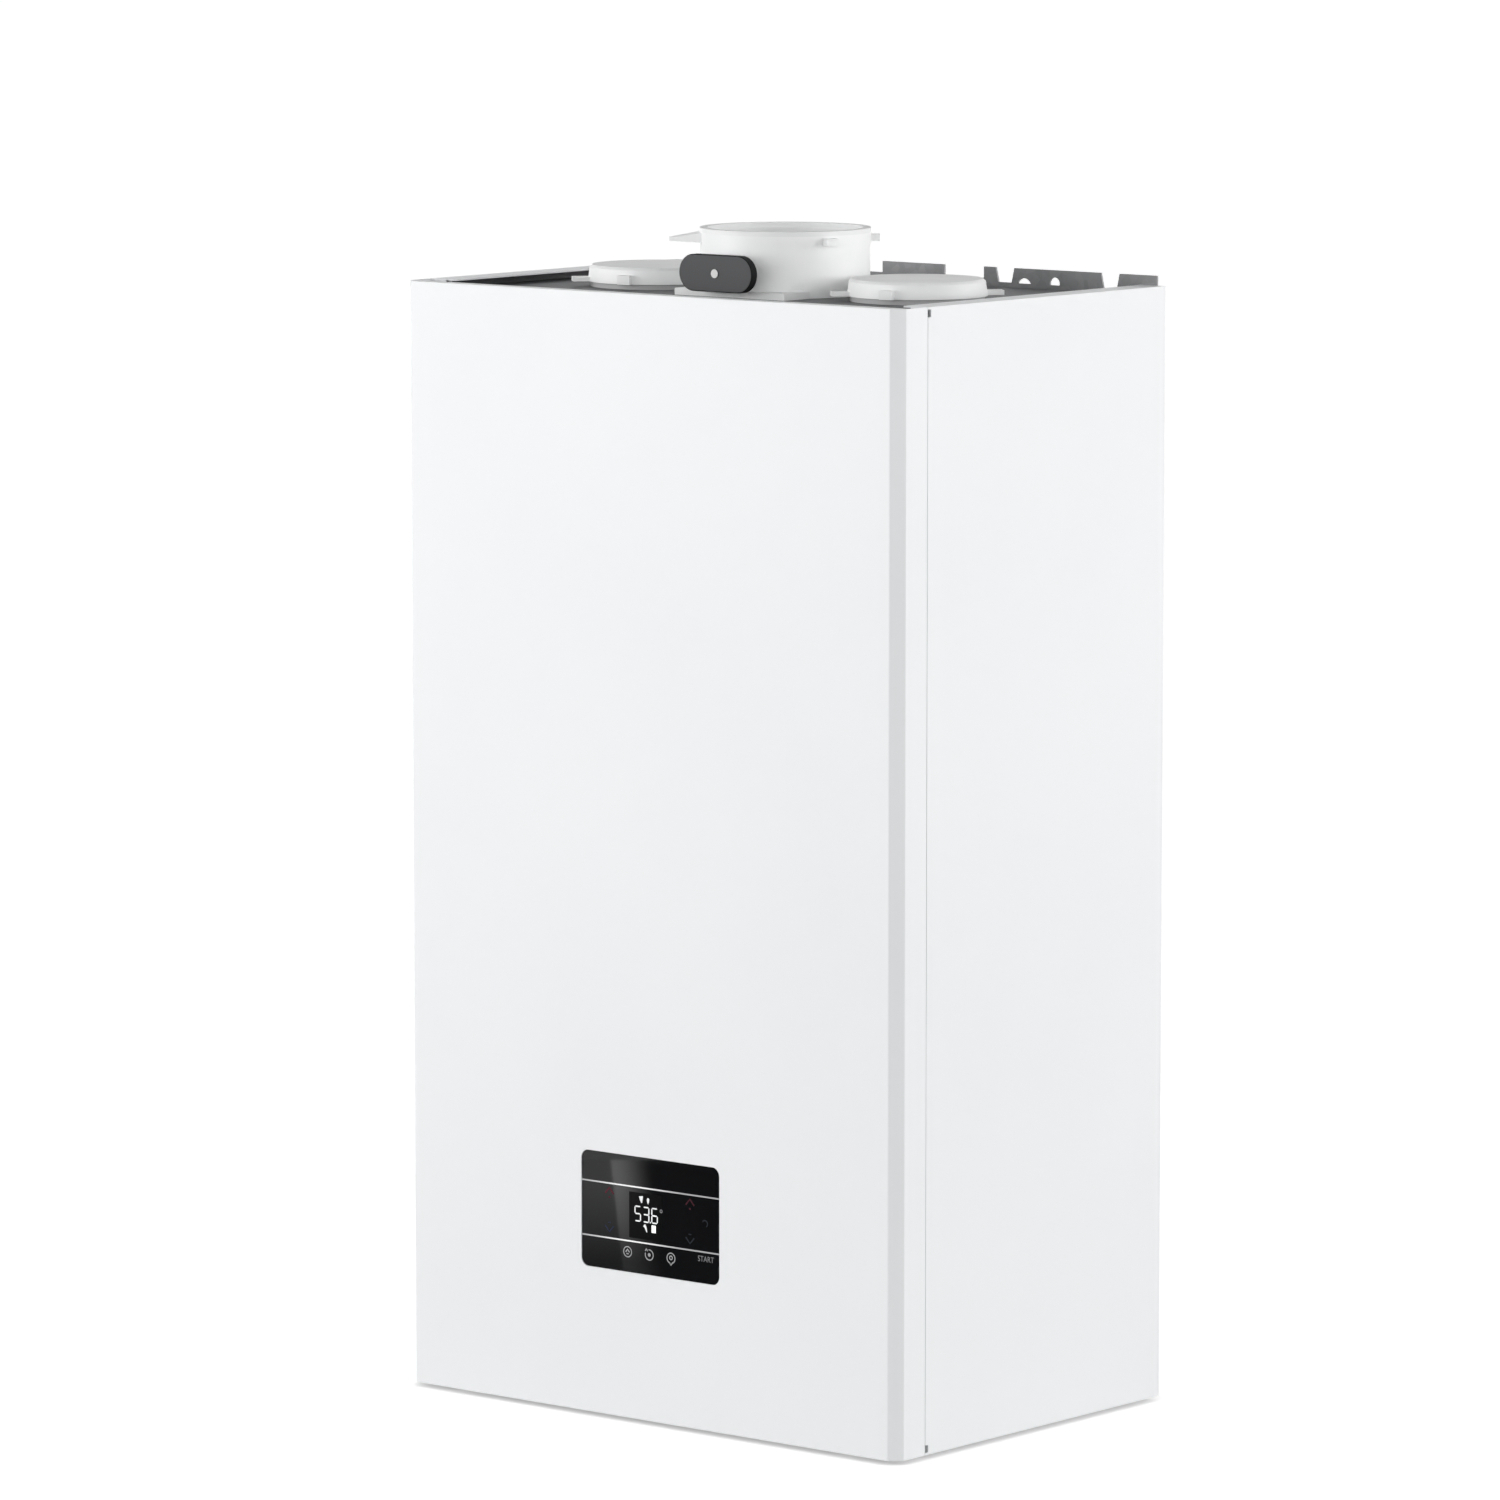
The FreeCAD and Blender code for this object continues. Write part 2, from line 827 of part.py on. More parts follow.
def make_back_panel():
    """Hanging plate: tabbed top edge, wall bolt holes and forward flanges inside the side panels."""
    top = casing_height + hanger_rise
    plate = block((-inner_half, inner_half), (back_face_y, 0), (0, top))
    flange = block(
        (inner_half - chassis_sheet, inner_half),
        (back_face_y - back_flange, back_face_y),
        (floor_z + back_flange_end_gap, top_plate_z - back_flange_end_gap),
    )
    plate = union(plate, *both_sides(flange))
    gap = block((centre_tab / 2, finger_tab_start), (back_face_y, 0), (casing_height - hanger_gap_depth, top))
    corner = block((inner_half - outer_tab_edge, inner_half), (back_face_y, 0), (casing_height, top))
    outer_notch = make_hanger_notch(inner_half - outer_notch_edge)
    tools = [gap, corner, make_hanger_notch(inner_notch_offset), outer_notch]
    tools.append(make_tab_hole(large_tab_hole_offset, large_tab_hole_drop, large_tab_hole_radius))
    tools.append(make_tab_hole(small_tab_hole_offset, small_tab_hole_drop, small_tab_hole_radius))
    screw_x = bracket_half + bracket_foot_width / 2
    screw_hole = screw_radius + screw_clearance
    holes = [
        (wall_bolt_spacing / 2, casing_height - wall_bolt_drop, wall_bolt_radius),
        (screw_x, exchanger_z - bracket_screw_spacing / 2, screw_hole),
        (screw_x, exchanger_z + bracket_screw_spacing / 2, screw_hole),
    ]
    for x, z, radius in holes:
        tools.append(rod((x, back_face_y, z), (x, 0, z), radius))
    for tool in list(tools):
        tools.append(mirrored(tool))
    left_end = block((-inner_half, left_tab_edge - inner_half), (back_face_y, 0), (casing_height, top))
    return cut(plate, left_end, *tools)


def make_top_plate():
    """Dark plate below the top edge: front skirt, upright end lips and openings for flue and air."""
    front = front_y + corner_facet + cover_flange + top_plate_front_gap
    z = (top_plate_z - chassis_sheet, top_plate_z)
    rear_part = block((-inner_half, inner_half), (chassis_front_y, back_face_y), z)
    tongue = block((-chassis_half, chassis_half), (front, chassis_front_y), z)
    skirt = block(
        (-chassis_half, chassis_half),
        (front, front + chassis_sheet),
        (top_plate_z - top_plate_skirt, top_plate_z - chassis_sheet),
    )
    lip = block(
        (inner_half - chassis_sheet, inner_half),
        (chassis_front_y, back_face_y),
        (top_plate_z, top_plate_z + top_plate_lip),
    )
    flue_hole = rod((0, collar_y, z[0]), (0, collar_y, z[1]), collar_bore - air_slot_edge)
    port_hole = rod((air_port_offset, collar_y, z[0]), (air_port_offset, collar_y, z[1]), air_port_bore)
    sheet = union(rear_part, tongue, skirt, *both_sides(lip))
    return cut(sheet, flue_hole, *both_sides(port_hole))


def connection_list():
    """x place, thread radius and hexagon size of the five pipe connections, from left to right."""
    return [
        (-group_x, large_thread_radius, large_hexagon),
        (-connection_spacing, small_thread_radius, small_hexagon),
        (0.0, large_thread_radius, large_hexagon),
        (connection_spacing, small_thread_radius, small_hexagon),
        (group_x, large_thread_radius, large_hexagon),
    ]


def gland_places():
    return [(gland_x, -gland_distance), (gland_x - gland_spacing, -gland_distance)]


def make_bottom_plate():
    """Plate that carries the water groups, with a front skirt and slotted tabs for the cover screws."""
    z = (bottom_plate_height, floor_z)
    plate = block((-inner_half, inner_half), (chassis_front_y, back_face_y), z)
    skirt_rear = chassis_front_y + chassis_sheet
    skirt = block((-chassis_half, chassis_half), (chassis_front_y, skirt_rear), (cover_foot_z, floor_z))
    tab_front = cover_screw_y - screw_head_radius
    tab_z = (cover_foot_z, cover_foot_z + chassis_sheet)
    tab = block(
        (cover_screw_x - cover_tab_width / 2, cover_screw_x + cover_tab_width / 2),
        (tab_front, skirt_rear),
        tab_z,
    )
    slot_half = screw_radius + screw_clearance
    slot = block(
        (cover_screw_x - slot_half, cover_screw_x + slot_half),
        (tab_front, cover_screw_y),
        tab_z,
    )
    slot_end = rod(
        (cover_screw_x, cover_screw_y, tab_z[0]),
        (cover_screw_x, cover_screw_y, tab_z[1]),
        slot_half,
    )
    plate = union(plate, skirt, *both_sides(tab))
    tools = both_sides(slot.fuse(slot_end))
    holes = [(x, connection_y, radius) for x, radius, across in connection_list()]
    holes.append((trap_x, trap_y, trap_outlet_radius))
    holes.append((-group_x, group_front_y - safety_discharge_setback, safety_discharge_radius))
    holes.append((filling_offset, filling_y, filling_stem_radius))
    for x, y in gland_places():
        holes.append((x, y, gland_radius))
    for x, y, radius in holes:
        tools.append(rod((x, y, z[0]), (x, y, z[1]), radius + plate_hole_clearance))
    return cut(plate, *tools)


def make_cover_seals():
    """Foam strips between the cover's lips and the side panels."""
    outer = inner_half - (cover_lip - seal_width) / 2
    strip = block(
        (outer - seal_width, outer),
        (cover_rear_y, seal_rear_y),
        (seal_end_gap, casing_height - seal_top_gap),
    )
    return group(*both_sides(strip))


def make_cable_glands():
    """Two open glands on the bottom plate for mains and room-control leads."""
    solids = []
    for x, y in gland_places():
        body = rod((x, y, bottom_plate_height - gland_drop), (x, y, floor_z + gland_rise), gland_radius)
        flange = hexagon((x, y, floor_z), (x, y, floor_z + gland_flange), gland_across)
        bore = rod((x, y, bottom_plate_height - gland_drop), (x, y, floor_z + gland_rise), gland_bore)
        solids.append(union(body, flange).cut(bore))
    return group(*solids)


# Flue top


def make_collar_lug(angle):
    """Ear with a screw hole, narrower and thinner towards its tip, on the collar's upper band."""
    root = collar_bore + flue_wall
    tip = collar_radius + lug_length
    tip_top = collar_wall_top - lug_tip_fall
    side_y = collar_y - lug_root_width / 2
    plan = prism(
        [
            (root, side_y, collar_band_z),
            (tip, collar_y - lug_tip_width / 2, collar_band_z),
            (tip, collar_y + lug_tip_width / 2, collar_band_z),
            (root, side_y + lug_root_width, collar_band_z),
        ],
        (0, 0, lug_root_height),
    )
    profile = prism(
        [
            (root, side_y, collar_band_z),
            (tip, side_y, tip_top - lug_tip_height),
            (tip, side_y, tip_top),
            (root, side_y, collar_wall_top),
        ],
        (0, lug_root_width, 0),
    )
    hole_x = tip - lug_tip_width
    hole = rod((hole_x, collar_y, collar_band_z), (hole_x, collar_y, collar_wall_top), lug_hole_radius)
    ear = plan.common(profile).cut(hole)
    return turn_about(ear, (0, collar_y, 0), (0, 0, 1), angle)


def make_collar_stop(angle):
    """Small block on the collar's upper band."""
    top = collar_wall_top - stop_drop
    stop = block(
        (collar_bore + flue_wall, collar_radius + stop_length),
        (collar_y - stop_width / 2, collar_y + stop_width / 2),
        (top - stop_height, top),
    )
    return turn_about(stop, (0, collar_y, 0), (0, 0, 1), angle)


def make_foot_slot():
    """Shallow slot in the outside of the collar's wall, above its base."""
    outer = collar_radius - collar_band_step
    bottom = top_plate_z + foot_slot_rise
    slot = block(
        (outer - foot_slot_depth, collar_radius),
        (collar_y - foot_slot_width / 2, collar_y + foot_slot_width / 2),
        (bottom, bottom + foot_slot_height),
    )
    return turn_about(slot, (0, collar_y, 0), (0, 0, 1), foot_slot_angle)


def make_air_slot(angle):
    """Curved opening in the collar's floor between the flue socket and the outer bore."""
    inner = flue_bore + flue_seal_width + air_slot_edge
    outer = collar_bore - air_slot_edge
    floor = (0, collar_y, top_plate_z)
    axis = Vector(0, 0, 1)
    wide = Part.makeCylinder(outer, collar_floor, Vector(*floor), axis, air_slot_angle)
    narrow = Part.makeCylinder(inner, collar_floor, Vector(*floor), axis, air_slot_angle)
    return turn_about(wide.cut(narrow), floor, (0, 0, 1), angle)


def make_flue_collar():
    """Socket for a concentric flue: outer air bore, inner flue bore, lugs and a boss for sampling."""
    wall_radius = collar_radius - collar_band_step
    wall = rod((0, collar_y, top_plate_z), (0, collar_y, collar_band_z), wall_radius)
    band = rod((0, collar_y, collar_band_z), (0, collar_y, collar_wall_top), collar_radius)
    base = block(
        (-base_half_width, base_half_width),
        (collar_y - base_front, collar_y + base_front),
        (top_plate_z, top_plate_z + base_height),
    )
    boss = stadium(0, boss_z, boss_width, boss_height, boss_y, collar_y)
    spigot_bottom = top_plate_z - flue_socket_depth
    spigot = rod((0, collar_y, spigot_bottom), (0, collar_y, collar_floor_z), flue_bore + flue_wall)
    lugs = [make_collar_lug(angle) for angle in lug_angles]
    stops = [make_collar_stop(angle) for angle in stop_angles]
    collar = union(wall, band, base, boss, spigot, *lugs, *stops)
    outer_bore = rod((0, collar_y, collar_floor_z), (0, collar_y, collar_wall_top), collar_bore)
    inner_bore = rod((0, collar_y, spigot_bottom), (0, collar_y, collar_floor_z), flue_bore)
    seal_seat = rod(
        (0, collar_y, collar_floor_z - flue_seal_height),
        (0, collar_y, collar_floor_z),
        flue_bore + flue_seal_width,
    )
    slots = [make_air_slot(360 / air_slot_count * step) for step in range(air_slot_count)]
    hole_x = sampling_hole_spacing / 2
    hole_end = boss_y + plug_stem_length + plug_stem_clearance
    hole = rod((hole_x, boss_y, boss_z), (hole_x, hole_end, boss_z), sampling_hole_radius)
    return cut(collar, outer_bore, inner_bore, seal_seat, make_foot_slot(), *slots, *both_sides(hole))


def make_flue_seals():
    """Lip rings of the two flue sockets and flat gaskets of the two air ports."""
    rim = sleeve(
        (0, collar_y, collar_wall_top),
        (0, collar_y, collar_rim_z),
        collar_radius,
        collar_bore + collar_seal_bore_gap,
    )
    inner = sleeve(
        (0, collar_y, collar_floor_z - flue_seal_height),
        (0, collar_y, collar_floor_z),
        flue_bore + flue_seal_width,
        flue_bore + collar_seal_bore_gap,
    )
    gasket = sleeve(
        (air_port_offset, collar_y, top_plate_z),
        (air_port_offset, collar_y, port_z),
        port_gasket_radius,
        air_port_bore,
    )
    return group(rim, inner, *both_sides(gasket))


def make_sampling_plug():
    """Oval plug with two stems that close the sampling holes."""
    face_y = boss_y - plug_thickness
    face = stadium(0, boss_z, plug_width, plug_height, face_y, boss_y)
    front_edges = [edge for edge in face.Edges if edge.BoundBox.YMax < face_y + plug_edge / 2]
    face = face.makeChamfer(plug_edge, front_edges)
    button = rod((0, face_y - plug_button_height, boss_z), (0, face_y, boss_z), plug_button_radius)
    stem_x = sampling_hole_spacing / 2
    stem = rod(
        (stem_x, boss_y, boss_z),
        (stem_x, boss_y + plug_stem_length, boss_z),
        sampling_hole_radius - plug_stem_clearance,
    )
    return union(face, button, *both_sides(stem))


def make_air_cap(x):
    """Push-in cap: tapered lid with a hollow spigot, two finger lugs and a snap clip."""
    top = port_z + cap_height
    spigot = air_port_bore - cap_spigot_clearance
    bottom = port_z - port_gasket_height - cap_spigot_depth
    lid = turned(
        [
            (0, top),
            (cap_top_radius - cap_edge, top),
            (cap_top_radius, top - cap_edge),
            (cap_radius, port_z),
            (spigot, port_z),
            (spigot, bottom),
            (spigot - cap_wall, bottom),
            (spigot - cap_wall, top - cap_wall),
            (0, top - cap_wall),
        ],
        x,
        collar_y,
    )
    lug = block(
        (x + spigot, x + cap_radius + cap_lug_length),
        (collar_y - cap_lug_width / 2, collar_y + cap_lug_width / 2),
        (port_z, port_z + cap_lug_height),
    )
    clip = block(
        (x + spigot, x + cap_radius + cap_clip_length),
        (collar_y - cap_clip_width / 2, collar_y + cap_clip_width / 2),
        (port_z, port_z + cap_clip_height),
    )
    centre = (x, collar_y, 0)
    return union(
        lid,
        turn_about(lug, centre, (0, 0, 1), cap_lug_angle),
        turn_about(lug, centre, (0, 0, 1), cap_lug_angle + 180),
        turn_about(clip, centre, (0, 0, 1), cap_clip_angle),
    )


def make_flue_pipe():
    """Plain pipe from the exchanger's flue spigot up over the collar's inner socket."""
    inner = flue_bore + flue_wall + flue_fit_clearance
    return sleeve(
        (0, collar_y, exchanger_z + shell_radius + flue_seat_rise),
        (0, collar_y, top_plate_z - chassis_sheet - flue_pipe_top_gap),
        inner + flue_pipe_wall,
        inner,
    )


# Expansion vessel and exchanger


def vessel_body(inset):
    """Flat rounded vessel, smaller than the outside by an inset all round."""
    half = vessel_width / 2 - inset
    body = rounded_block(
        (-half, half),
        (vessel_front_y + inset, back_face_y - inset),
        (vessel_bottom + inset, vessel_top - inset),
        vessel_corner - inset,
        (0, 1, 0),
    )
    rims = []
    for edge in body.Edges:
        box = edge.BoundBox
        if box.YLength < 0.001:
            rims.append(edge)
    return body.makeFillet(vessel_edge - inset, rims)


def make_expansion_vessel():
    return vessel_body(0).cut(vessel_body(vessel_wall))


def make_vessel_diaphragm():
    """Rubber sheet across the middle of the vessel."""
    middle = (vessel_front_y + back_face_y) / 2
    slab = block(
        (-half_width, half_width),
        (middle - diaphragm_thickness / 2, middle + diaphragm_thickness / 2),
        (0, casing_height),
    )
    return vessel_body(vessel_wall + diaphragm_clearance).common(slab)


def make_vessel_pipe():
    """Thin pipe from the vessel's underside to the flow group."""
    vessel_y = (vessel_front_y + back_face_y) / 2
    group_end = (-group_inner_x - vessel_pipe_radius * 2, group_rear_y - vessel_pipe_radius * 2)
    level = (vessel_bottom + group_top) / 2
    start_x = group_end[0] + vessel_pipe_run
    points = [
        (start_x, vessel_y, vessel_bottom),
        (start_x, vessel_y, level),
        (group_end[0], group_end[1], level),
        (group_end[0], group_end[1], group_top),
    ]
    return bent_rod(points, vessel_pipe_radius, vessel_pipe_radius * 3)


def make_exchanger_bracket():
    """Folded sheet that straddles the vessel and carries the exchanger's back."""
    z = (exchanger_z - exchanger_bracket_height / 2, exchanger_z + exchanger_bracket_height / 2)
    cross = block((-bracket_half, bracket_half), (exchanger_back_y, exchanger_back_y + chassis_sheet), z)
    leg = block((bracket_half - chassis_sheet, bracket_half), (exchanger_back_y, back_face_y), z)
    foot_end = bracket_half + bracket_foot_width
    foot = block((bracket_half, foot_end), (back_face_y - chassis_sheet, back_face_y), z)
    frame = union(cross, *both_sides(leg), *both_sides(foot))
    tools = []
    screw_x = bracket_half + bracket_foot_width / 2
    for rise in (-bracket_screw_spacing / 2, bracket_screw_spacing / 2):
        hole = rod(
            (screw_x, back_face_y - chassis_sheet, exchanger_z + rise),
            (screw_x, back_face_y, exchanger_z + rise),
            screw_radius + screw_clearance,
        )
        tools.extend(both_sides(hole))
    return cut(frame, *tools)


def make_chassis_screws():
    """Four screws through the exchanger bracket's feet into the back panel."""
    solids = []
    screw_x = bracket_half + bracket_foot_width / 2
    head_y = back_face_y - chassis_sheet
    for rise in (-bracket_screw_spacing / 2, bracket_screw_spacing / 2):
        z = exchanger_z + rise
        head = rod((screw_x, head_y - screw_head_height, z), (screw_x, head_y, z), screw_head_radius)
        shank = rod((screw_x, head_y, z), (screw_x, -screw_clearance, z), screw_radius)
        solids.extend(both_sides(union(head, shank)))
    return group(*solids)


def make_exchanger_shell():
    """Drum with a door flange, a flue spigot on top, a condensate drain and openings for the coil."""
    centre = (exchanger_x, exchanger_z)
    drum = rod((centre[0], shell_front_y, centre[1]), (centre[0], exchanger_back_y, centre[1]), shell_radius)
    flange = rod((centre[0], door_rear_y, centre[1]), (centre[0], shell_front_y, centre[1]), flange_radius)
    pipe_radius = flue_bore + flue_wall + 2 * flue_fit_clearance + flue_pipe_wall
    spigot_top = exchanger_z + shell_radius + flue_spigot_rise
    pipe_end = exchanger_z + shell_radius + flue_seat_rise
    spigot = rod((0, collar_y, exchanger_z), (0, collar_y, spigot_top), pipe_radius + shell_wall)
    drain = rod((centre[0], drain_y, drain_z), (centre[0], drain_y, exchanger_z), drain_radius)
    outside = union(drum, flange, spigot, drain)
    cavity = rod(
        (centre[0], door_rear_y, centre[1]),
        (centre[0], exchanger_back_y - shell_back_wall, centre[1]),
        shell_bore,
    )
    pipe_seat = rod((0, collar_y, pipe_end), (0, collar_y, spigot_top), pipe_radius)
    flue_way = rod((0, collar_y, exchanger_z), (0, collar_y, pipe_end), flue_bore)
    drain_way = rod((centre[0], drain_y, drain_z), (centre[0], drain_y, exchanger_z), drain_bore)
    flow_hole = rod(
        (exchanger_x, flow_pipe_y, flow_spigot_z),
        (spigot_left_x, flow_pipe_y, flow_spigot_z),
        spigot_radius + spigot_clearance,
    )
    return_hole = rod(
        (exchanger_x, return_pipe_y, return_spigot_z),
        (spigot_right_x, return_pipe_y, return_spigot_z),
        spigot_radius + spigot_clearance,
    )
    return cut(outside, cavity, pipe_seat, flue_way, drain_way, flow_hole, return_hole)


def make_exchanger_coil():
    """Flat hollow turns joined by two headers, each with a spigot through the drum."""
    start = shell_front_y + coil_gap
    length = exchanger_back_y - shell_back_wall - coil_gap - start
    pitch = length / coil_turns
    x, z = exchanger_x, exchanger_z
    rings = []
    for turn in range(coil_turns):
        near = start + turn * pitch
        far = near + pitch - coil_spacing
        skin = sleeve((x, near, z), (x, far, z), coil_radius, coil_bore)
        space = sleeve(
            (x, near + coil_wall, z),
            (x, far - coil_wall, z),
            coil_radius - coil_wall,
            coil_bore + coil_wall,
        )
        rings.append(skin.cut(space))
    end = start + length - coil_spacing
    flow_x = x - coil_radius + coil_wall
    flow_header = block(
        (flow_x, flow_x + header_thickness),
        (start, end),
        (flow_spigot_z - header_width / 2, flow_spigot_z + header_width / 2),
    )
    reach = math.sqrt(coil_radius ** 2 - (return_spigot_drop + header_width / 2) ** 2)
    return_header = block(
        (x + reach - header_thickness, x + reach),
        (start, end),
        (return_spigot_z - header_width / 2, return_spigot_z + header_width / 2),
    )
    flow_start = (flow_x + header_thickness / 2, flow_pipe_y, flow_spigot_z)
    flow_end = (spigot_left_x, flow_pipe_y, flow_spigot_z)
    return_start = (x + reach - header_thickness / 2, return_pipe_y, return_spigot_z)
    return_end = (spigot_right_x, return_pipe_y, return_spigot_z)
    coil = union(
        rings[0],
        flow_header,
        return_header,
        rod(flow_start, flow_end, spigot_radius),
        rod(return_start, return_end, spigot_radius),
        *rings[1:],
    )
    return cut(coil, rod(flow_start, flow_end, spigot_bore), rod(return_start, return_end, spigot_bore))


def make_burner_door():
    """Round door that closes the drum and passes the gas mixture to the burner."""
    x, z = exchanger_x, exchanger_z
    door = sleeve((x, door_front_y, z), (x, door_rear_y, z), flange_radius - door_margin, door_bore)
    holes = []
    for place in electrode_places():
        front = (place[0], door_front_y, place[1])
        rear = (place[0], door_rear_y, place[1])
        holes.append(rod(front, rear, ceramic_radius))
    return cut(door, *holes)


def make_burner():
    """Closed steel cylinder with a flange, hung from the door inside the coil."""
    x, z = exchanger_x, exchanger_z
    flange = rod((x, door_rear_y, z), (x, shell_front_y, z), burner_flange_radius)
    tube = rod((x, door_rear_y, z), (x, burner_end_y, z), burner_radius)
    bore = rod((x, door_rear_y, z), (x, burner_end_y - burner_wall, z), burner_radius - burner_wall)
    return union(flange, tube).cut(bore)


def make_door_nuts():
    """Nuts with stud ends round the burner door."""
    circle = flange_radius - door_margin - door_nut_inset
    solids = []
    for step in range(door_nut_count):
        angle = math.radians(door_nut_first_angle + 360 / door_nut_count * step)
        x = exchanger_x + circle * math.cos(angle)
        z = exchanger_z + circle * math.sin(angle)
        nut = hexagon((x, door_front_y - door_nut_height, z), (x, door_front_y, z), door_nut_across)
        stud = rod((x, door_front_y - door_stud_length, z), (x, door_front_y, z), door_stud_radius)
        solids.append(union(nut, stud))
    return group(*solids)


def electrode_places():
    """x and z of the two electrodes in the door."""
    places = []
    half_step = math.degrees(electrode_spacing / electrode_circle) / 2
    for angle in (electrode_angle - half_step, electrode_angle + half_step):
        turn = math.radians(angle)
        places.append((
            exchanger_x + electrode_circle * math.cos(turn),
            exchanger_z + electrode_circle * math.sin(turn),
        ))
    return places


def make_ignition_electrodes():
    """Ceramic sleeves with steel rods that end beside the burner."""
    solids = []
    for x, z in electrode_places():
        front = door_front_y - ceramic_length
        ceramic = rod((x, front, z), (x, door_rear_y, z), ceramic_radius - screw_clearance)
        collar_front = door_front_y - electrode_flange
        collar = rod((x, collar_front, z), (x, door_front_y, z), ceramic_radius + electrode_rod_radius)
        tip = rod((x, door_rear_y, z), (x, door_rear_y + electrode_rod_length, z), electrode_rod_radius)
        solids.append(union(ceramic, collar, tip))
    return group(*solids)


# Fan and gas train


def hood_body(inset, front, rear):
    """Round end over the burner's inlet, widened into a duct that meets the fan's outlet."""
    radius = hood_radius - inset
    round_end = rod((exchanger_x, front, exchanger_z), (exchanger_x, rear, exchanger_z), radius)
    corners = [(hood_end_x, front, fan_outlet_top - inset), (hood_end_x, front, fan_outlet_bottom + inset)]
    for angle in (hood_lower_angle, hood_upper_angle):
        turn = math.radians(angle)
        corners.append((exchanger_x + radius * math.cos(turn), front, exchanger_z + radius * math.sin(turn)))
    return union(round_end, prism(corners, (0, rear - front, 0)))


def make_mixing_hood():
    """Cast duct from the fan's outlet to the burner door."""
    outside = hood_body(0, hood_front_y, door_front_y)
    inside = hood_body(hood_wall, hood_front_y + hood_wall, door_front_y - hood_wall)
    inlet_start = (exchanger_x, hood_front_y + hood_wall, exchanger_z)
    inlet_end = (exchanger_x, door_front_y, exchanger_z)
    return cut(outside, inside, rod(inlet_start, inlet_end, hood_bore))


def make_fan_housing():
    """Round scroll with a straight outlet to the left, an inlet behind and a shaft hole in front."""
    drum = rod((fan_x, hood_front_y, fan_z), (fan_x, fan_rear_y, fan_z), fan_radius)
    outlet = block((hood_end_x, fan_x), (hood_front_y, door_front_y), (fan_outlet_bottom, fan_outlet_top))
    near = hood_front_y + fan_wall
    far = fan_rear_y - fan_wall
    chamber = rod((fan_x, near, fan_z), (fan_x, far, fan_z), fan_radius - fan_wall)
    way = block(
        (hood_end_x, fan_x),
        (near, door_front_y - fan_wall),
        (fan_outlet_bottom + fan_wall, fan_outlet_top - fan_wall),
    )
    inlet = rod((fan_x, far, fan_z), (fan_x, fan_rear_y, fan_z), fan_inlet_radius)
    shaft_hole = rod((fan_x, hood_front_y, fan_z), (fan_x, near, fan_z), fan_shaft_hole)
    return cut(union(drum, outlet), chamber, way, inlet, shaft_hole)


def make_vanes(count, inner, outer, thickness, near, far):
    """Flat radial vanes about the axis along Y through x = 0, z = 0."""
    vanes = []
    for step in range(count):
        vane = block((inner, outer), (near, far), (-thickness / 2, thickness / 2))
        vanes.append(turn_about(vane, (0, 0, 0), (0, 1, 0), 360 / count * step))
    return vanes


def make_fan_impeller():
    """Back plate with radial blades, a hub and the shaft that runs in the motor."""
    plate_y = hood_front_y + fan_wall + impeller_end_gap
    blade_y = plate_y + impeller_plate
    end_y = fan_rear_y - fan_wall - impeller_end_gap
    shaft_y = hood_front_y - fan_motor_depth + motor_end_wall + shaft_end_gap
    plate = rod((0, plate_y, 0), (0, blade_y, 0), impeller_radius)
    hub = rod((0, plate_y, 0), (0, blade_y + impeller_hub_radius, 0), impeller_hub_radius)
    shaft = rod((0, shaft_y, 0), (0, blade_y, 0), fan_shaft_radius)
    inner = impeller_radius - impeller_blade_length
    thickness = impeller_blade_thickness
    blades = make_vanes(impeller_blade_count, inner, impeller_radius, thickness, blade_y, end_y)
    wheel = union(plate, hub, shaft, *blades)
    wheel.translate(Vector(fan_x, 0, fan_z))
    return wheel


def make_fan_motor():
    """Flat motor on the front of the fan housing, with the shaft's bearing bore."""
    front = hood_front_y - fan_motor_depth
    body = rod((fan_x, front, fan_z), (fan_x, hood_front_y, fan_z), fan_motor_radius)
    bore = rod(
        (fan_x, front + motor_end_wall, fan_z),
        (fan_x, hood_front_y, fan_z),
        fan_shaft_radius + running_clearance,
    )
    return body.cut(bore)


def make_venturi_mixer():
    """Venturi behind the fan's inlet, with a gas boss underneath."""
    body = rod((fan_x, fan_rear_y, fan_z), (fan_x, mixer_rear_y, fan_z), mixer_radius)
    boss = rod((fan_x, gas_port_y, gas_boss_z), (fan_x, gas_port_y, fan_z), gas_boss_radius)
    middle_y = (fan_rear_y + mixer_rear_y) / 2
    axis = Vector(0, 1, 0)
    half = mixer_length / 2
    front_cone = Part.makeCone(mixer_mouth, mixer_throat, half, Vector(fan_x, fan_rear_y, fan_z), axis)
    rear_cone = Part.makeCone(mixer_throat, mixer_mouth, half, Vector(fan_x, middle_y, fan_z), axis)
    gas_way = rod((fan_x, gas_port_y, gas_boss_z), (fan_x, gas_port_y, fan_z), gas_pipe_bore)
    return cut(union(body, boss), front_cone, rear_cone, gas_way)


def make_air_silencer():
    """Straight intake pipe with a lipped mouth, which draws air from the casing."""
    end_y = vessel_front_y - silencer_gap
    start = (fan_x, mixer_rear_y, fan_z)
    end = (fan_x, end_y, fan_z)
    lip = rod((fan_x, end_y - silencer_mouth, fan_z), end, silencer_radius + silencer_mouth)
    pipe = union(rod(start, end, silencer_radius), lip)
    return pipe.cut(rod(start, end, silencer_radius - silencer_wall))


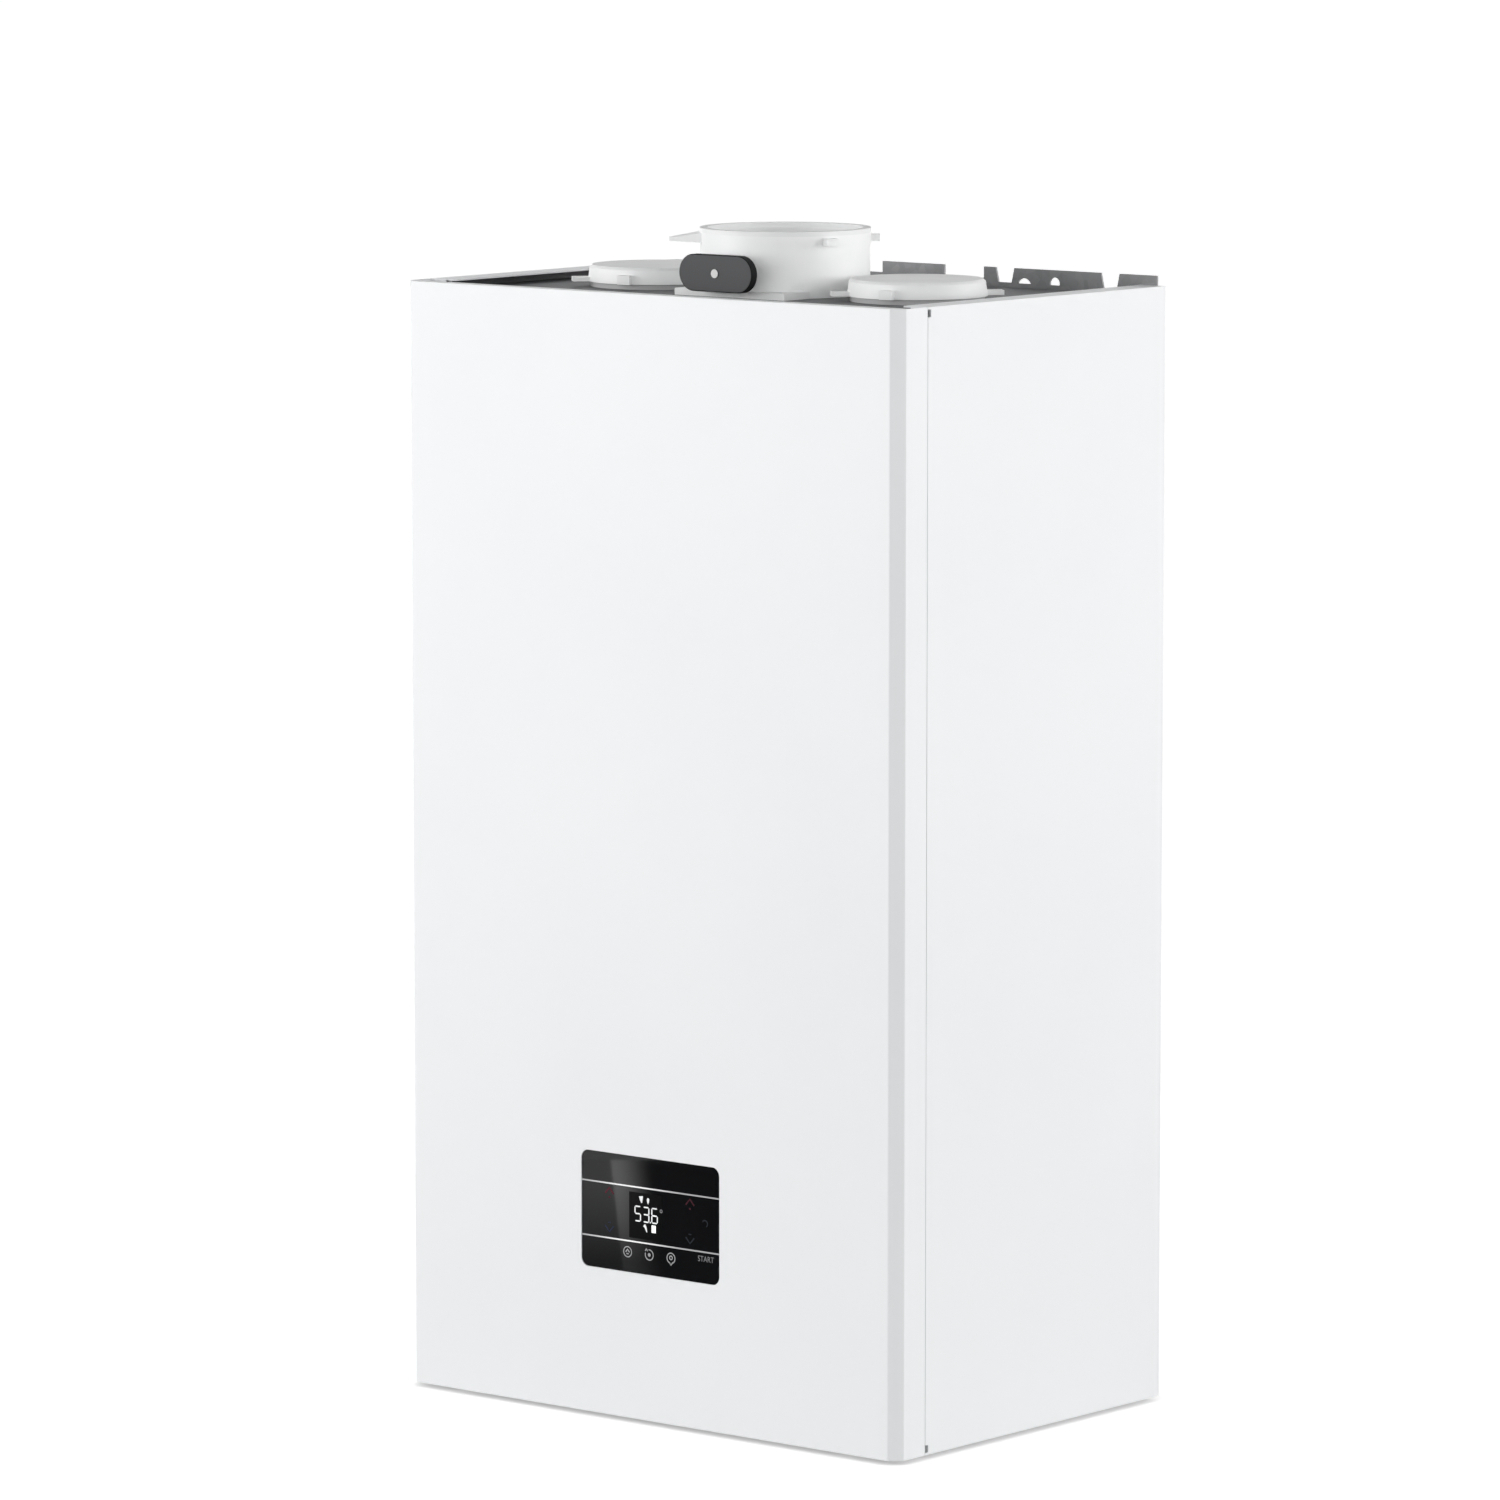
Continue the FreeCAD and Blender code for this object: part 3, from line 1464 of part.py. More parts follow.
def make_gas_valve():
    """Cast block with two coils on its front."""
    y = (gas_port_y - gas_valve_depth / 2, gas_port_y + gas_valve_depth / 2)
    body = rounded_block(
        (fan_x - gas_valve_width / 2, fan_x + gas_valve_width / 2),
        y,
        (gas_valve_bottom, gas_valve_top),
        gas_valve_corner,
        (0, 0, 1),
    )
    middle_z = (gas_valve_bottom + gas_valve_top) / 2
    coils = []
    for rise in (-gas_coil_spacing / 2, gas_coil_spacing / 2):
        z = middle_z + rise
        coils.append(rod((fan_x, y[0] - gas_coil_length, z), (fan_x, y[0], z), gas_coil_radius))
    return union(body, *coils)


def make_upper_gas_pipe():
    """Short pipe with two nuts, from the gas valve up to the mixer."""
    bottom = (fan_x, gas_port_y, gas_valve_top)
    top = (fan_x, gas_port_y, gas_boss_z)
    lower_nut = hexagon(bottom, (fan_x, gas_port_y, gas_valve_top + gas_nut_height), gas_nut_across)
    upper_nut = hexagon((fan_x, gas_port_y, gas_boss_z - gas_nut_height), top, gas_nut_across)
    return union(rod(bottom, top, gas_pipe_radius), lower_nut, upper_nut).cut(rod(bottom, top, gas_pipe_bore))


def make_lower_gas_pipe():
    """Bent pipe from the gas connection up to the gas valve, with a nut at each end."""
    low_z = gas_valve_bottom - gas_pipe_drop
    points = [
        (0, connection_y, group_z),
        (0, connection_y, low_z - gas_pipe_fall),
        (fan_x, gas_port_y, low_z),
        (fan_x, gas_port_y, gas_valve_bottom),
    ]
    lower_nut = hexagon(points[0], (0, connection_y, group_z + gas_nut_height), gas_nut_across)
    upper_nut = hexagon((fan_x, gas_port_y, gas_valve_bottom - gas_nut_height), points[-1], gas_nut_across)
    outside = union(bent_rod(points, gas_pipe_radius, gas_pipe_bend), lower_nut, upper_nut)
    return outside.cut(bent_rod(points, gas_pipe_bore, gas_pipe_bend))


# Water side


def make_pipe_connections():
    """Five threaded tails that stand on the bottom plate and pass down through it."""
    solids = []
    for x, radius, across in connection_list():
        low = (x, connection_y, tail_z)
        seat = (x, connection_y, floor_z)
        high = (x, connection_y, group_z)
        thread = rod(low, (x, connection_y, thread_top_z), radius)
        tail = union(thread, rod(low, high, radius - thread_relief_depth), hexagon(seat, high, across))
        solids.append(tail.cut(rod(low, high, radius - connection_wall)))
    return group(*solids)


def make_flow_pipe():
    """Pipe from the coil's outlet down the left side to the flow group."""
    points = [
        (spigot_left_x, flow_pipe_y, flow_spigot_z),
        (flow_pipe_x, flow_pipe_y, flow_spigot_z),
        (flow_pipe_x, flow_pipe_y, flow_entry_z),
        (-group_x - group_width / 2, flow_pipe_y, flow_entry_z),
    ]
    return bent_tube(points, water_pipe_radius, water_pipe_bore, water_pipe_bend)


def make_return_pipe():
    """Pipe from the pump's outlet up to the coil's inlet."""
    points = [
        (spigot_right_x, return_pipe_y, return_spigot_z),
        (pump_outlet_x, return_pipe_y, return_spigot_z),
        (pump_outlet_x, return_pipe_y, pump_top),
    ]
    return bent_tube(points, water_pipe_radius, water_pipe_bore, water_pipe_bend)


def make_flow_group():
    """Moulded block on the left with the three-way valve's chamber and spindle bore."""
    body = rounded_block(
        (-group_x - group_width / 2, -group_inner_x),
        (group_front_y, group_rear_y),
        (group_z, group_top),
        group_corner,
        (0, 0, 1),
    )
    floor = group_z + valve_chamber_floor
    chamber = rod(
        (-group_x, spindle_y, floor),
        (-group_x, spindle_y, floor + valve_chamber_height),
        valve_chamber_radius,
    )
    bore_radius = valve_spindle_radius + running_clearance
    bore = rod((-group_x, spindle_y, floor), (-group_x, spindle_y, group_top), bore_radius)
    return cut(body, chamber, bore)


def make_valve_spindle():
    """Three-way valve disc on its spindle, which reaches up into the actuator."""
    disc_z = group_z + valve_chamber_floor + valve_disc_lift
    top = group_top + actuator_bore_depth - valve_travel - spindle_end_gap
    low = (-group_x, spindle_y, disc_z)
    disc = rod(low, (-group_x, spindle_y, disc_z + valve_disc_height), valve_disc_radius)
    spindle = rod(low, (-group_x, spindle_y, top), valve_spindle_radius)
    return union(disc, spindle)


def make_valve_actuator():
    """Motor housing on top of the flow group, with a bore for the spindle's stroke."""
    body = rounded_block(
        (-group_x - actuator_width / 2, -group_x + actuator_width / 2),
        (spindle_y - actuator_depth / 2, spindle_y + actuator_depth / 2),
        (group_top, group_top + actuator_height),
        actuator_corner,
        (0, 0, 1),
    )
    bore = rod(
        (-group_x, spindle_y, group_top),
        (-group_x, spindle_y, group_top + actuator_bore_depth),
        valve_spindle_radius + running_clearance,
    )
    return body.cut(bore)


def make_pump_body():
    """Return group on the right: moulded foot, round volute with its chamber, outlet and vent bosses."""
    foot = rounded_block(
        (group_inner_x, group_x + group_width / 2),
        (group_front_y, group_rear_y),
        (group_z, group_top),
        group_corner,
        (0, 0, 1),
    )
    volute = rod((pump_x, volute_front_y, volute_z), (pump_x, volute_rear_y, volute_z), volute_radius)
    neck = block(
        (pump_x - volute_radius / 2, pump_x + volute_radius / 2),
        (volute_front_y, volute_rear_y),
        (group_top - group_corner, volute_z),
    )
    outlet_start = (pump_outlet_x, return_pipe_y, volute_z)
    outlet_end = (pump_outlet_x, return_pipe_y, pump_top)
    outlet = rod(outlet_start, outlet_end, pump_outlet_radius)
    vent_boss = rod((vent_x, return_pipe_y, volute_z), (vent_x, return_pipe_y, pump_top), vent_radius)
    chamber = rod(
        (pump_x, volute_front_y + volute_wall, volute_z),
        (pump_x, volute_rear_y - volute_wall, volute_z),
        volute_chamber_radius,
    )
    shaft_hole = rod(
        (pump_x, volute_front_y, volute_z),
        (pump_x, volute_front_y + volute_wall, volute_z),
        pump_shaft_radius + running_clearance,
    )
    outside = union(foot, volute, neck, outlet, vent_boss)
    return cut(outside, chamber, shaft_hole, rod(outlet_start, outlet_end, water_pipe_bore))


def make_pump_impeller():
    """Shrouded wheel with radial vanes, and the shaft that runs in the motor."""
    plate_y = volute_front_y + volute_wall + pump_impeller_gap
    vane_y = plate_y + pump_plate
    end_y = volute_rear_y - volute_wall - pump_impeller_gap
    shaft_y = pump_motor_front_y + motor_end_wall + shaft_end_gap
    plate = rod((0, plate_y, 0), (0, vane_y, 0), pump_impeller_radius)
    hub = rod((0, plate_y, 0), (0, end_y, 0), pump_hub_radius)
    shaft = rod((0, shaft_y, 0), (0, vane_y, 0), pump_shaft_radius)
    inner = pump_hub_radius - pump_vane_thickness
    vanes = make_vanes(pump_vane_count, inner, pump_impeller_radius, pump_vane_thickness, vane_y, end_y)
    wheel = union(plate, hub, shaft, *vanes)
    wheel.translate(Vector(pump_x, 0, volute_z))
    return wheel


def make_pump_motor():
    """Motor can in front of the volute, with a terminal box on top."""
    front = pump_motor_front_y
    can = rod((pump_x, front, volute_z), (pump_x, volute_front_y, volute_z), pump_motor_radius)
    terminal = block(
        (pump_x - pump_terminal_width / 2, pump_x + pump_terminal_width / 2),
        (front + motor_end_wall, volute_front_y),
        (volute_z, volute_z + pump_motor_radius + pump_terminal_height),
    )
    bore = rod(
        (pump_x, front + motor_end_wall, volute_z),
        (pump_x, volute_front_y, volute_z),
        pump_shaft_radius + running_clearance,
    )
    return union(can, terminal).cut(bore)


def make_air_vent():
    """Automatic vent on the pump body, with a small cap."""
    middle = (vent_x, return_pipe_y, pump_top + vent_height)
    top = (vent_x, return_pipe_y, pump_top + vent_height + vent_cap_height)
    body = rod((vent_x, return_pipe_y, pump_top), middle, vent_radius)
    return union(body, rod(middle, top, vent_cap_radius))


def make_plate_exchanger():
    """Brazed pack between the two groups: a hollow core with a lip for each plate."""
    x = (-group_inner_x, group_inner_x)
    y = (plate_pack_front_y, plate_pack_y)
    z = (plate_pack_z, plate_pack_z + plate_pack_height)
    core = block(x, (y[0] + plate_lip, y[1] - plate_lip), z)
    wall = plate_pack_wall
    space = block(
        (x[0] + wall, x[1] - wall),
        (y[0] + plate_lip + wall, y[1] - plate_lip - wall),
        (z[0] + wall, z[1] - wall),
    )
    pitch = (plate_pack_height - plate_thickness) / (plate_count - 1)
    lips = []
    for step in range(plate_count):
        low = z[0] + step * pitch
        lips.append(block(x, y, (low, low + plate_thickness)))
    return union(core, *lips).cut(space)


def make_hot_water_pipe():
    """Short pipe from the plate pack forward and down to the hot-water connection."""
    points = [
        (-connection_spacing, plate_pack_front_y, domestic_z),
        (-connection_spacing, connection_y, domestic_z),
        (-connection_spacing, connection_y, group_z),
    ]
    return bent_tube(points, domestic_pipe_radius, domestic_pipe_bore, domestic_pipe_bend)


def make_cold_water_pipe():
    """Pipe from the flow sensor up over the plate pack's edge and down into its top."""
    back_y = plate_pack_front_y + plate_pack_depth / 2
    high_z = plate_pack_z + plate_pack_height + domestic_pipe_bend + domestic_pipe_radius
    points = [
        (connection_spacing, connection_y, flow_sensor_z),
        (connection_spacing, connection_y, high_z),
        (connection_spacing, back_y, high_z),
        (connection_spacing, back_y, plate_pack_z + plate_pack_height),
    ]
    return bent_tube(points, domestic_pipe_radius, domestic_pipe_bore, domestic_pipe_bend)


def make_flow_sensor():
    """Turbine housing on the cold-water connection, with a bearing bar at each end."""
    x, y = connection_spacing, connection_y
    body = sleeve((x, y, group_z), (x, y, flow_sensor_z), flow_sensor_radius, flow_sensor_bore)
    width = turbine_axle_radius * 4
    low_bar = block(
        (x - flow_sensor_radius, x + flow_sensor_radius),
        (y - width / 2, y + width / 2),
        (group_z, group_z + flow_sensor_bar),
    )
    high_bar = low_bar.copy()
    high_bar.translate(Vector(0, 0, flow_sensor_height - flow_sensor_bar))
    inside = rod((x, y, group_z), (x, y, flow_sensor_z), flow_sensor_radius - running_clearance)
    bearing = rod((x, y, group_z), (x, y, flow_sensor_z), turbine_axle_radius + running_clearance)
    return union(body, low_bar.common(inside), high_bar.common(inside)).cut(bearing)


def make_flow_turbine():
    """Vaned rotor whose axle runs in the two bearing bars."""
    low = group_z + flow_sensor_bar + turbine_end_gap
    high = flow_sensor_z - flow_sensor_bar - turbine_end_gap
    axle_end = flow_sensor_z - shaft_end_gap
    axle = rod((0, group_z + shaft_end_gap, 0), (0, axle_end, 0), turbine_axle_radius)
    hub = rod((0, low, 0), (0, high, 0), turbine_hub_radius)
    inner = turbine_hub_radius - turbine_vane_thickness
    vanes = make_vanes(turbine_vane_count, inner, turbine_radius, turbine_vane_thickness, low, high)
    rotor = turn_about(union(hub, axle, *vanes), (0, 0, 0), (1, 0, 0), 90)
    rotor.translate(Vector(connection_spacing, connection_y, 0))
    return rotor


def make_safety_valve():
    """Valve on the front of the flow group, with a discharge pipe down through the bottom plate."""
    x, z = -group_x, safety_z
    body = rod((x, safety_front_y, z), (x, group_front_y, z), safety_radius)
    stem = rod((x, safety_front_y - safety_stem_length, z), (x, safety_front_y, z), safety_stem_radius)
    discharge_y = group_front_y - safety_discharge_setback
    pipe = rod((x, discharge_y, tail_z), (x, discharge_y, z), safety_discharge_radius)
    way = rod((x, discharge_y, tail_z), (x, discharge_y, z), safety_discharge_bore)
    return union(body, stem, pipe).cut(way)


def fluted_knob(start, end, radius, flute_axis):
    """Round knob with grip flutes along its axis."""
    knob = rod(start, end, radius)
    reach = radius + knob_flute_radius / 2
    flute = rod((start[0] + reach, start[1], start[2]), (end[0] + reach, end[1], end[2]), knob_flute_radius)
    for step in range(knob_flute_count):
        knob = knob.cut(turn_about(flute, start, flute_axis, 360 / knob_flute_count * step))
    return knob


def make_safety_knob():
    """Turning knob on the safety valve's stem."""
    x, z = -group_x, safety_z
    rear = safety_front_y - knob_gap
    knob = fluted_knob((x, rear - safety_knob_length, z), (x, rear, z), safety_knob_radius, (0, 1, 0))
    bore = rod(
        (x, safety_front_y - safety_stem_length - shaft_end_gap, z),
        (x, rear, z),
        safety_stem_radius + running_clearance,
    )
    return knob.cut(bore)


def make_filling_tap():
    """Tap body on the bottom plate, bored from below for the knob's stem."""
    top = floor_z + filling_body_height
    body = rod((filling_offset, filling_y, floor_z), (filling_offset, filling_y, top), filling_body_radius)
    bore = rod(
        (filling_offset, filling_y, floor_z),
        (filling_offset, filling_y, floor_z + filling_stem_engagement + shaft_end_gap),
        filling_stem_radius + running_clearance,
    )
    return body.cut(bore)


def make_filling_knob():
    """Hand knob under the bottom plate, with its stem up into the tap."""
    top = bottom_plate_height - filling_knob_gap
    wheel = fluted_knob(
        (filling_offset, filling_y, top - filling_knob_height),
        (filling_offset, filling_y, top),
        filling_knob_radius,
        (0, 0, 1),
    )
    stem_top = floor_z + filling_stem_engagement
    stem = rod((filling_offset, filling_y, top), (filling_offset, filling_y, stem_top), filling_stem_radius)
    return union(wheel, stem)


def make_pressure_sensor():
    """Small sensor screwed into the front of the flow group."""
    x = -group_inner_x - pressure_sensor_inset
    z = group_z + pressure_sensor_rise
    seat = (x, group_front_y, z)
    body = rod((x, group_front_y - pressure_sensor_length, z), seat, pressure_sensor_radius)
    collar = hexagon((x, group_front_y - pressure_sensor_radius, z), seat, pressure_sensor_across)
    return union(body, collar)


def make_condensate_trap():
    """Bottle trap on a foot, with a hose nozzle on top and its outlet below the bottom plate."""
    x, y = trap_x, trap_y
    foot_top = floor_z + trap_foot_height
    foot = rod((x, y, floor_z), (x, y, foot_top), trap_foot_radius)
    bottle = turned(
        [
            (0, foot_top),
            (trap_radius - trap_edge, foot_top),
            (trap_radius, foot_top + trap_edge),
            (trap_radius, trap_top - trap_edge),
            (trap_radius - trap_edge, trap_top),
            (0, trap_top),
        ],
        x,
        y,
    )
    nozzle = rod((x, y, trap_top), (x, y, trap_top + trap_nozzle_height), drain_radius)
    outlet = rod((x, y, tail_z), (x, y, thread_top_z), trap_outlet_radius)
    neck = rod((x, y, tail_z), (x, y, floor_z), trap_outlet_radius - thread_relief_depth)
    space = rod((x, y, foot_top + trap_edge), (x, y, trap_top - trap_edge), trap_radius - trap_edge)
    inlet_way = rod((x, y, trap_top - trap_edge), (x, y, trap_top + trap_nozzle_height), drain_bore)
    outlet_way = rod((x, y, tail_z), (x, y, floor_z + trap_edge), trap_outlet_bore)
    return cut(union(foot, bottle, nozzle, outlet, neck), space, inlet_way, outlet_way)


def make_condensate_hose():
    """Hose from the exchanger's drain to the trap's nozzle."""
    end_z = trap_top + trap_nozzle_height
    run = (drain_z - end_z) / 3
    points = [
        (trap_x, drain_y, drain_z),
        (trap_x, drain_y, drain_z - run),
        (trap_x, trap_y, end_z + run),
        (trap_x, trap_y, end_z),
    ]
    return bent_tube(points, drain_radius, drain_bore, hose_bend)


# Controls


def make_control_box():
    """Moulded tray with the display's rim in front, bosses for the board and a pivot pin at each end."""
    x = (-box_half, box_half)
    body = rounded_block(x, (box_front_y, box_rear_y), (box_bottom, box_top), box_corner, (1, 0, 0))
    inside = block(
        (x[0] + box_wall, x[1] - box_wall),
        (box_front_y + box_wall, box_rear_y),
        (box_bottom + box_wall, box_top - box_wall),
    )
    tray = body.cut(inside)
    rim = display_block(display_rim, glass_rear_y + outer_sheet, box_front_y)
    pedestal = display_block(-window_clearance, glass_rear_y, box_front_y)
    pin_root = (box_half - box_wall, pivot_y, pivot_z)
    pin = rod(pin_root, (box_half + pivot_length, pivot_y, pivot_z), pivot_radius)
    boss_front = box_front_y + box_wall / 2
    boss_rear = box_front_y + box_wall + board_boss_length
    boss_x = box_half - box_wall - board_edge_gap * 2
    bosses = []
    for boss_height in (box_bottom + board_edge_gap * 2, box_top - board_edge_gap * 2):
        boss = rod((boss_x, boss_front, boss_height), (boss_x, boss_rear, boss_height), board_boss_radius)
        bosses.extend(both_sides(boss))
    return union(tray, rim, pedestal, *both_sides(pin), *bosses)


def make_control_box_lid():
    """Flat lid inside the tray's open back."""
    inset = box_wall + lid_clearance
    return block(
        (-box_half + inset, box_half - inset),
        (box_rear_y - lid_thickness, box_rear_y),
        (box_bottom + inset, box_top - inset),
    )


def make_circuit_board():
    """Board on the tray's bosses, with a transformer and a row of relays behind it."""
    half = box_half - box_wall - board_edge_gap
    low = box_bottom + board_edge_gap
    high = box_top - board_edge_gap
    front = box_front_y + box_wall + board_boss_length
    rear = front + board_thickness
    board = block((-half, half), (front, rear), (low, high))
    transformer = block(
        (-half + board_edge_gap, -half + board_edge_gap + transformer_width),
        (rear, rear + transformer_depth),
        (low + board_edge_gap, low + board_edge_gap + transformer_height),
    )
    relays = []
    for step in range(relay_count):
        left = -half + transformer_width + 2 * board_edge_gap + step * relay_pitch
        relay = block(
            (left, left + relay_width),
            (rear, rear + relay_depth),
            (low + board_edge_gap, low + board_edge_gap + relay_height),
        )
        relays.append(relay)
    return union(board, transformer, *relays)


def make_display_glass():
    """Rounded touch glass that fills the cover's window."""
    return display_block(0, glass_front_y, glass_rear_y)


def make_hinge_brackets():
    """Angle plates on the bottom plate that carry the control box's pivot pins."""
    near = box_half + bracket_gap
    far = near + chassis_sheet * 2
    front = pivot_y - pivot_setback
    rear = chassis_front_y + bracket_reach
    cheek = block((near, far), (front, rear), (floor_z, floor_z + bracket_height))
    below = block((near, far), (front, chassis_front_y), (floor_z, pivot_z - pivot_setback))
    foot = block(
        (far, far + bracket_foot),
        (chassis_front_y + bracket_gap, rear),
        (floor_z, floor_z + chassis_sheet),
    )
    hole = rod((near, pivot_y, pivot_z), (far, pivot_y, pivot_z), pivot_radius + running_clearance)
    return group(*both_sides(cut(union(cheek, foot), hole, below)))


os.makedirs("parts", exist_ok=True)

pieces = {
    "front_cover": make_front_cover(),
    "cover_screws": make_cover_screws(),
    "left_side_panel": mirrored(make_right_side_panel()),
    "right_side_panel": make_right_side_panel(),
    "back_panel": make_back_panel(),
    "top_plate": make_top_plate(),
    "bottom_plate": make_bottom_plate(),
    "cover_seals": make_cover_seals(),
    "cable_glands": make_cable_glands(),
    "flue_collar": make_flue_collar(),
    "flue_seals": make_flue_seals(),
    "sampling_plug": make_sampling_plug(),
    "left_air_cap": make_air_cap(-air_port_offset),
    "right_air_cap": make_air_cap(air_port_offset),
    "flue_pipe": make_flue_pipe(),
    "expansion_vessel": make_expansion_vessel(),
    "vessel_diaphragm": make_vessel_diaphragm(),
    "vessel_pipe": make_vessel_pipe(),
    "exchanger_bracket": make_exchanger_bracket(),
    "chassis_screws": make_chassis_screws(),
    "exchanger_shell": make_exchanger_shell(),
    "exchanger_coil": make_exchanger_coil(),
    "burner_door": make_burner_door(),
    "burner": make_burner(),
    "door_nuts": make_door_nuts(),
    "ignition_electrodes": make_ignition_electrodes(),
    "mixing_hood": make_mixing_hood(),
    "fan_housing": make_fan_housing(),
    "fan_impeller": make_fan_impeller(),
    "fan_motor": make_fan_motor(),
    "venturi_mixer": make_venturi_mixer(),
    "air_silencer": make_air_silencer(),
    "gas_valve": make_gas_valve(),
    "gas_pipes": group(make_upper_gas_pipe(), make_lower_gas_pipe()),
    "pipe_connections": make_pipe_connections(),
    "flow_pipe": make_flow_pipe(),
    "return_pipe": make_return_pipe(),
    "flow_group": make_flow_group(),
    "valve_spindle": make_valve_spindle(),
    "valve_actuator": make_valve_actuator(),
    "pump_body": make_pump_body(),
    "pump_impeller": make_pump_impeller(),
    "pump_motor": make_pump_motor(),
    "air_vent": make_air_vent(),
    "plate_exchanger": make_plate_exchanger(),
    "domestic_water_pipes": group(make_hot_water_pipe(), make_cold_water_pipe()),
    "flow_sensor": make_flow_sensor(),
    "flow_turbine": make_flow_turbine(),
    "safety_valve": make_safety_valve(),
    "safety_knob": make_safety_knob(),
    "filling_tap": make_filling_tap(),
    "filling_knob": make_filling_knob(),
    "pressure_sensor": make_pressure_sensor(),
    "condensate_trap": make_condensate_trap(),
    "condensate_hose": make_condensate_hose(),
    "control_box": make_control_box(),
    "control_box_lid": make_control_box_lid(),
    "circuit_board": make_circuit_board(),
    "hinge_brackets": make_hinge_brackets(),
    "display_glass": make_display_glass(),
}

for name, shape in pieces.items():
    shape.exportStep("parts/" + name + ".step")
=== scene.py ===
"""Looks of the wall-hung boiler: finishes for the solids, the printed and lit display, studio and camera."""

import json
import math

import bpy
import numpy as np
from mathutils import Matrix, Vector


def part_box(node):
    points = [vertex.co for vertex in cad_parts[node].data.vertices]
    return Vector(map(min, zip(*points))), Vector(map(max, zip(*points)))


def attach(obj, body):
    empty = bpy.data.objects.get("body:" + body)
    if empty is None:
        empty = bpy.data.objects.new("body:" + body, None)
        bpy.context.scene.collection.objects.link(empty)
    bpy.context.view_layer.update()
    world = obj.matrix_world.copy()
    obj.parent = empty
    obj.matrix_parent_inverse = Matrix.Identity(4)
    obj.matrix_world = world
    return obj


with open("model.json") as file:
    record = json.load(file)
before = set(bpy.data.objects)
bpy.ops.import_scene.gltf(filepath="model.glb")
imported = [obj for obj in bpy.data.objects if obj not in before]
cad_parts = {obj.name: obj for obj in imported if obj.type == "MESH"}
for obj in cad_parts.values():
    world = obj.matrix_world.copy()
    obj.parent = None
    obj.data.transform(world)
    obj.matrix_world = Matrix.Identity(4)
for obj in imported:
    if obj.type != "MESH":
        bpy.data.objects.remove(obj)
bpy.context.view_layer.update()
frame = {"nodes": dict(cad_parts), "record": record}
scene = bpy.context.scene
scene.view_settings.view_transform = "Standard"

MILLIMETRE = 0.001

# Display glass: places and sizes in millimetres, x to the right and z up
PRINT_LIFT = 0.05
GLASS_LEFT, GLASS_RIGHT = -55.75, 61.75
LINE_HEIGHTS = (154.5, 118.0)
LINE_HALF = 0.5
# Painted highlight on the silver lines: its brightest place along X and how far it reaches
SILVER_HIGHLIGHT_PLACE, SILVER_HIGHLIGHT_REACH = -14.0, 48.0
WINDOW_EDGES = (-15.0, 12.6, 120.4, 151.0)
ARC_POINTS = 49

# Lit figures and signs in the window
FIGURES = "536"
DIGIT_LOW, DIGIT_HIGH = 131.7, 142.3
DIGIT_LEFT = -10.4
DIGIT_WIDTH, DIGIT_PITCH = 5.6, 7.2
DIGIT_HALF = 0.46
SEGMENT_STEPS = (0.02, 0.14, 0.86, 0.98)
POINT_HALF, POINT_HEIGHT = 0.5, 1.0
FLAME_LINE = ((-4.9, 148.8), (-4.6, 146.6), (-4.2, 144.4))
FLAME_HALVES = (1.7, 1.2, 0.4)
DROP_FOOT = (1.2, 143.9)
DROP_WIDTH, DROP_HEIGHT = 2.0, 4.4
DROP_POINTS = 17
DROP_PULL, DROP_TIP = 0.6, 0.02
TICK_LINE = ((-2.2, 130.0), (-0.9, 128.6), (0.2, 125.4))
TICK_HALVES = (1.2, 0.9, 0.3)
BLOCK_EDGES = (4.2, 7.8, 125.6, 130.6)
DEGREE_PLACE = (12.4, 140.8)
DEGREE_RADIUS, DEGREE_HALF = 0.9, 0.3

# Key icons under the lower line: house, timer and pin
ICON_HEIGHT = 110.6
ICON_PLACES = (-16.4, 2.2, 20.8)
ICON_RADIUS, ICON_HALF = 3.4, 0.36
STROKE_HALF = 0.4
ROOF_DROP, ROOF_SIZE = 0.2, (3.2, 1.9)
SILL_HALF, SILL_LOW, SILL_HIGH = 0.9, 1.7, 0.9
TIMER_ARC = (-200.0, 100.0)
TIMER_HUB = 0.6
TIMER_HEAD_SHIFT, TIMER_HEAD_SIZE = 2.4, (2.0, 1.5)
PIN_ARC = (-60.0, 240.0)
PIN_FOOT_DROP, PIN_FOOT_SIZE = 2.6, (3.2, -2.0)
PIN_EYE_RISE, PIN_EYE_RADIUS, PIN_EYE_HALF = 0.3, 1.2, 0.35

# Touch arrows, mode sign and key word
ARROW_PLACES = (-32.0, 37.0)
ARROW_WIDTH, ARROW_HEIGHT = 7.2, 4.0
RAISE_FOOT, RAISE_HALF = 147.6, 0.55
RAISE_DOT_HALF, RAISE_DOT_LOW, RAISE_DOT_HIGH = 0.7, 144.6, 145.8
LOWER_HEAD, LOWER_HALF = 126.2, 0.5
LOWER_DASH_HALF, LOWER_DASH_LOW, LOWER_DASH_HIGH = 1.2, 128.0, 128.7
MODE_PLACE, MODE_ARC = (49.7, 136.8), (-60.0, 150.0)
MODE_RADIUS, MODE_HALF = 2.2, 0.4
WORD_PLACE = (43.6, 111.6)
WORD_HEIGHT = 4.0
LETTER_SIZE_PER_HEIGHT, LETTER_SQUEEZE = 1.36, 0.86

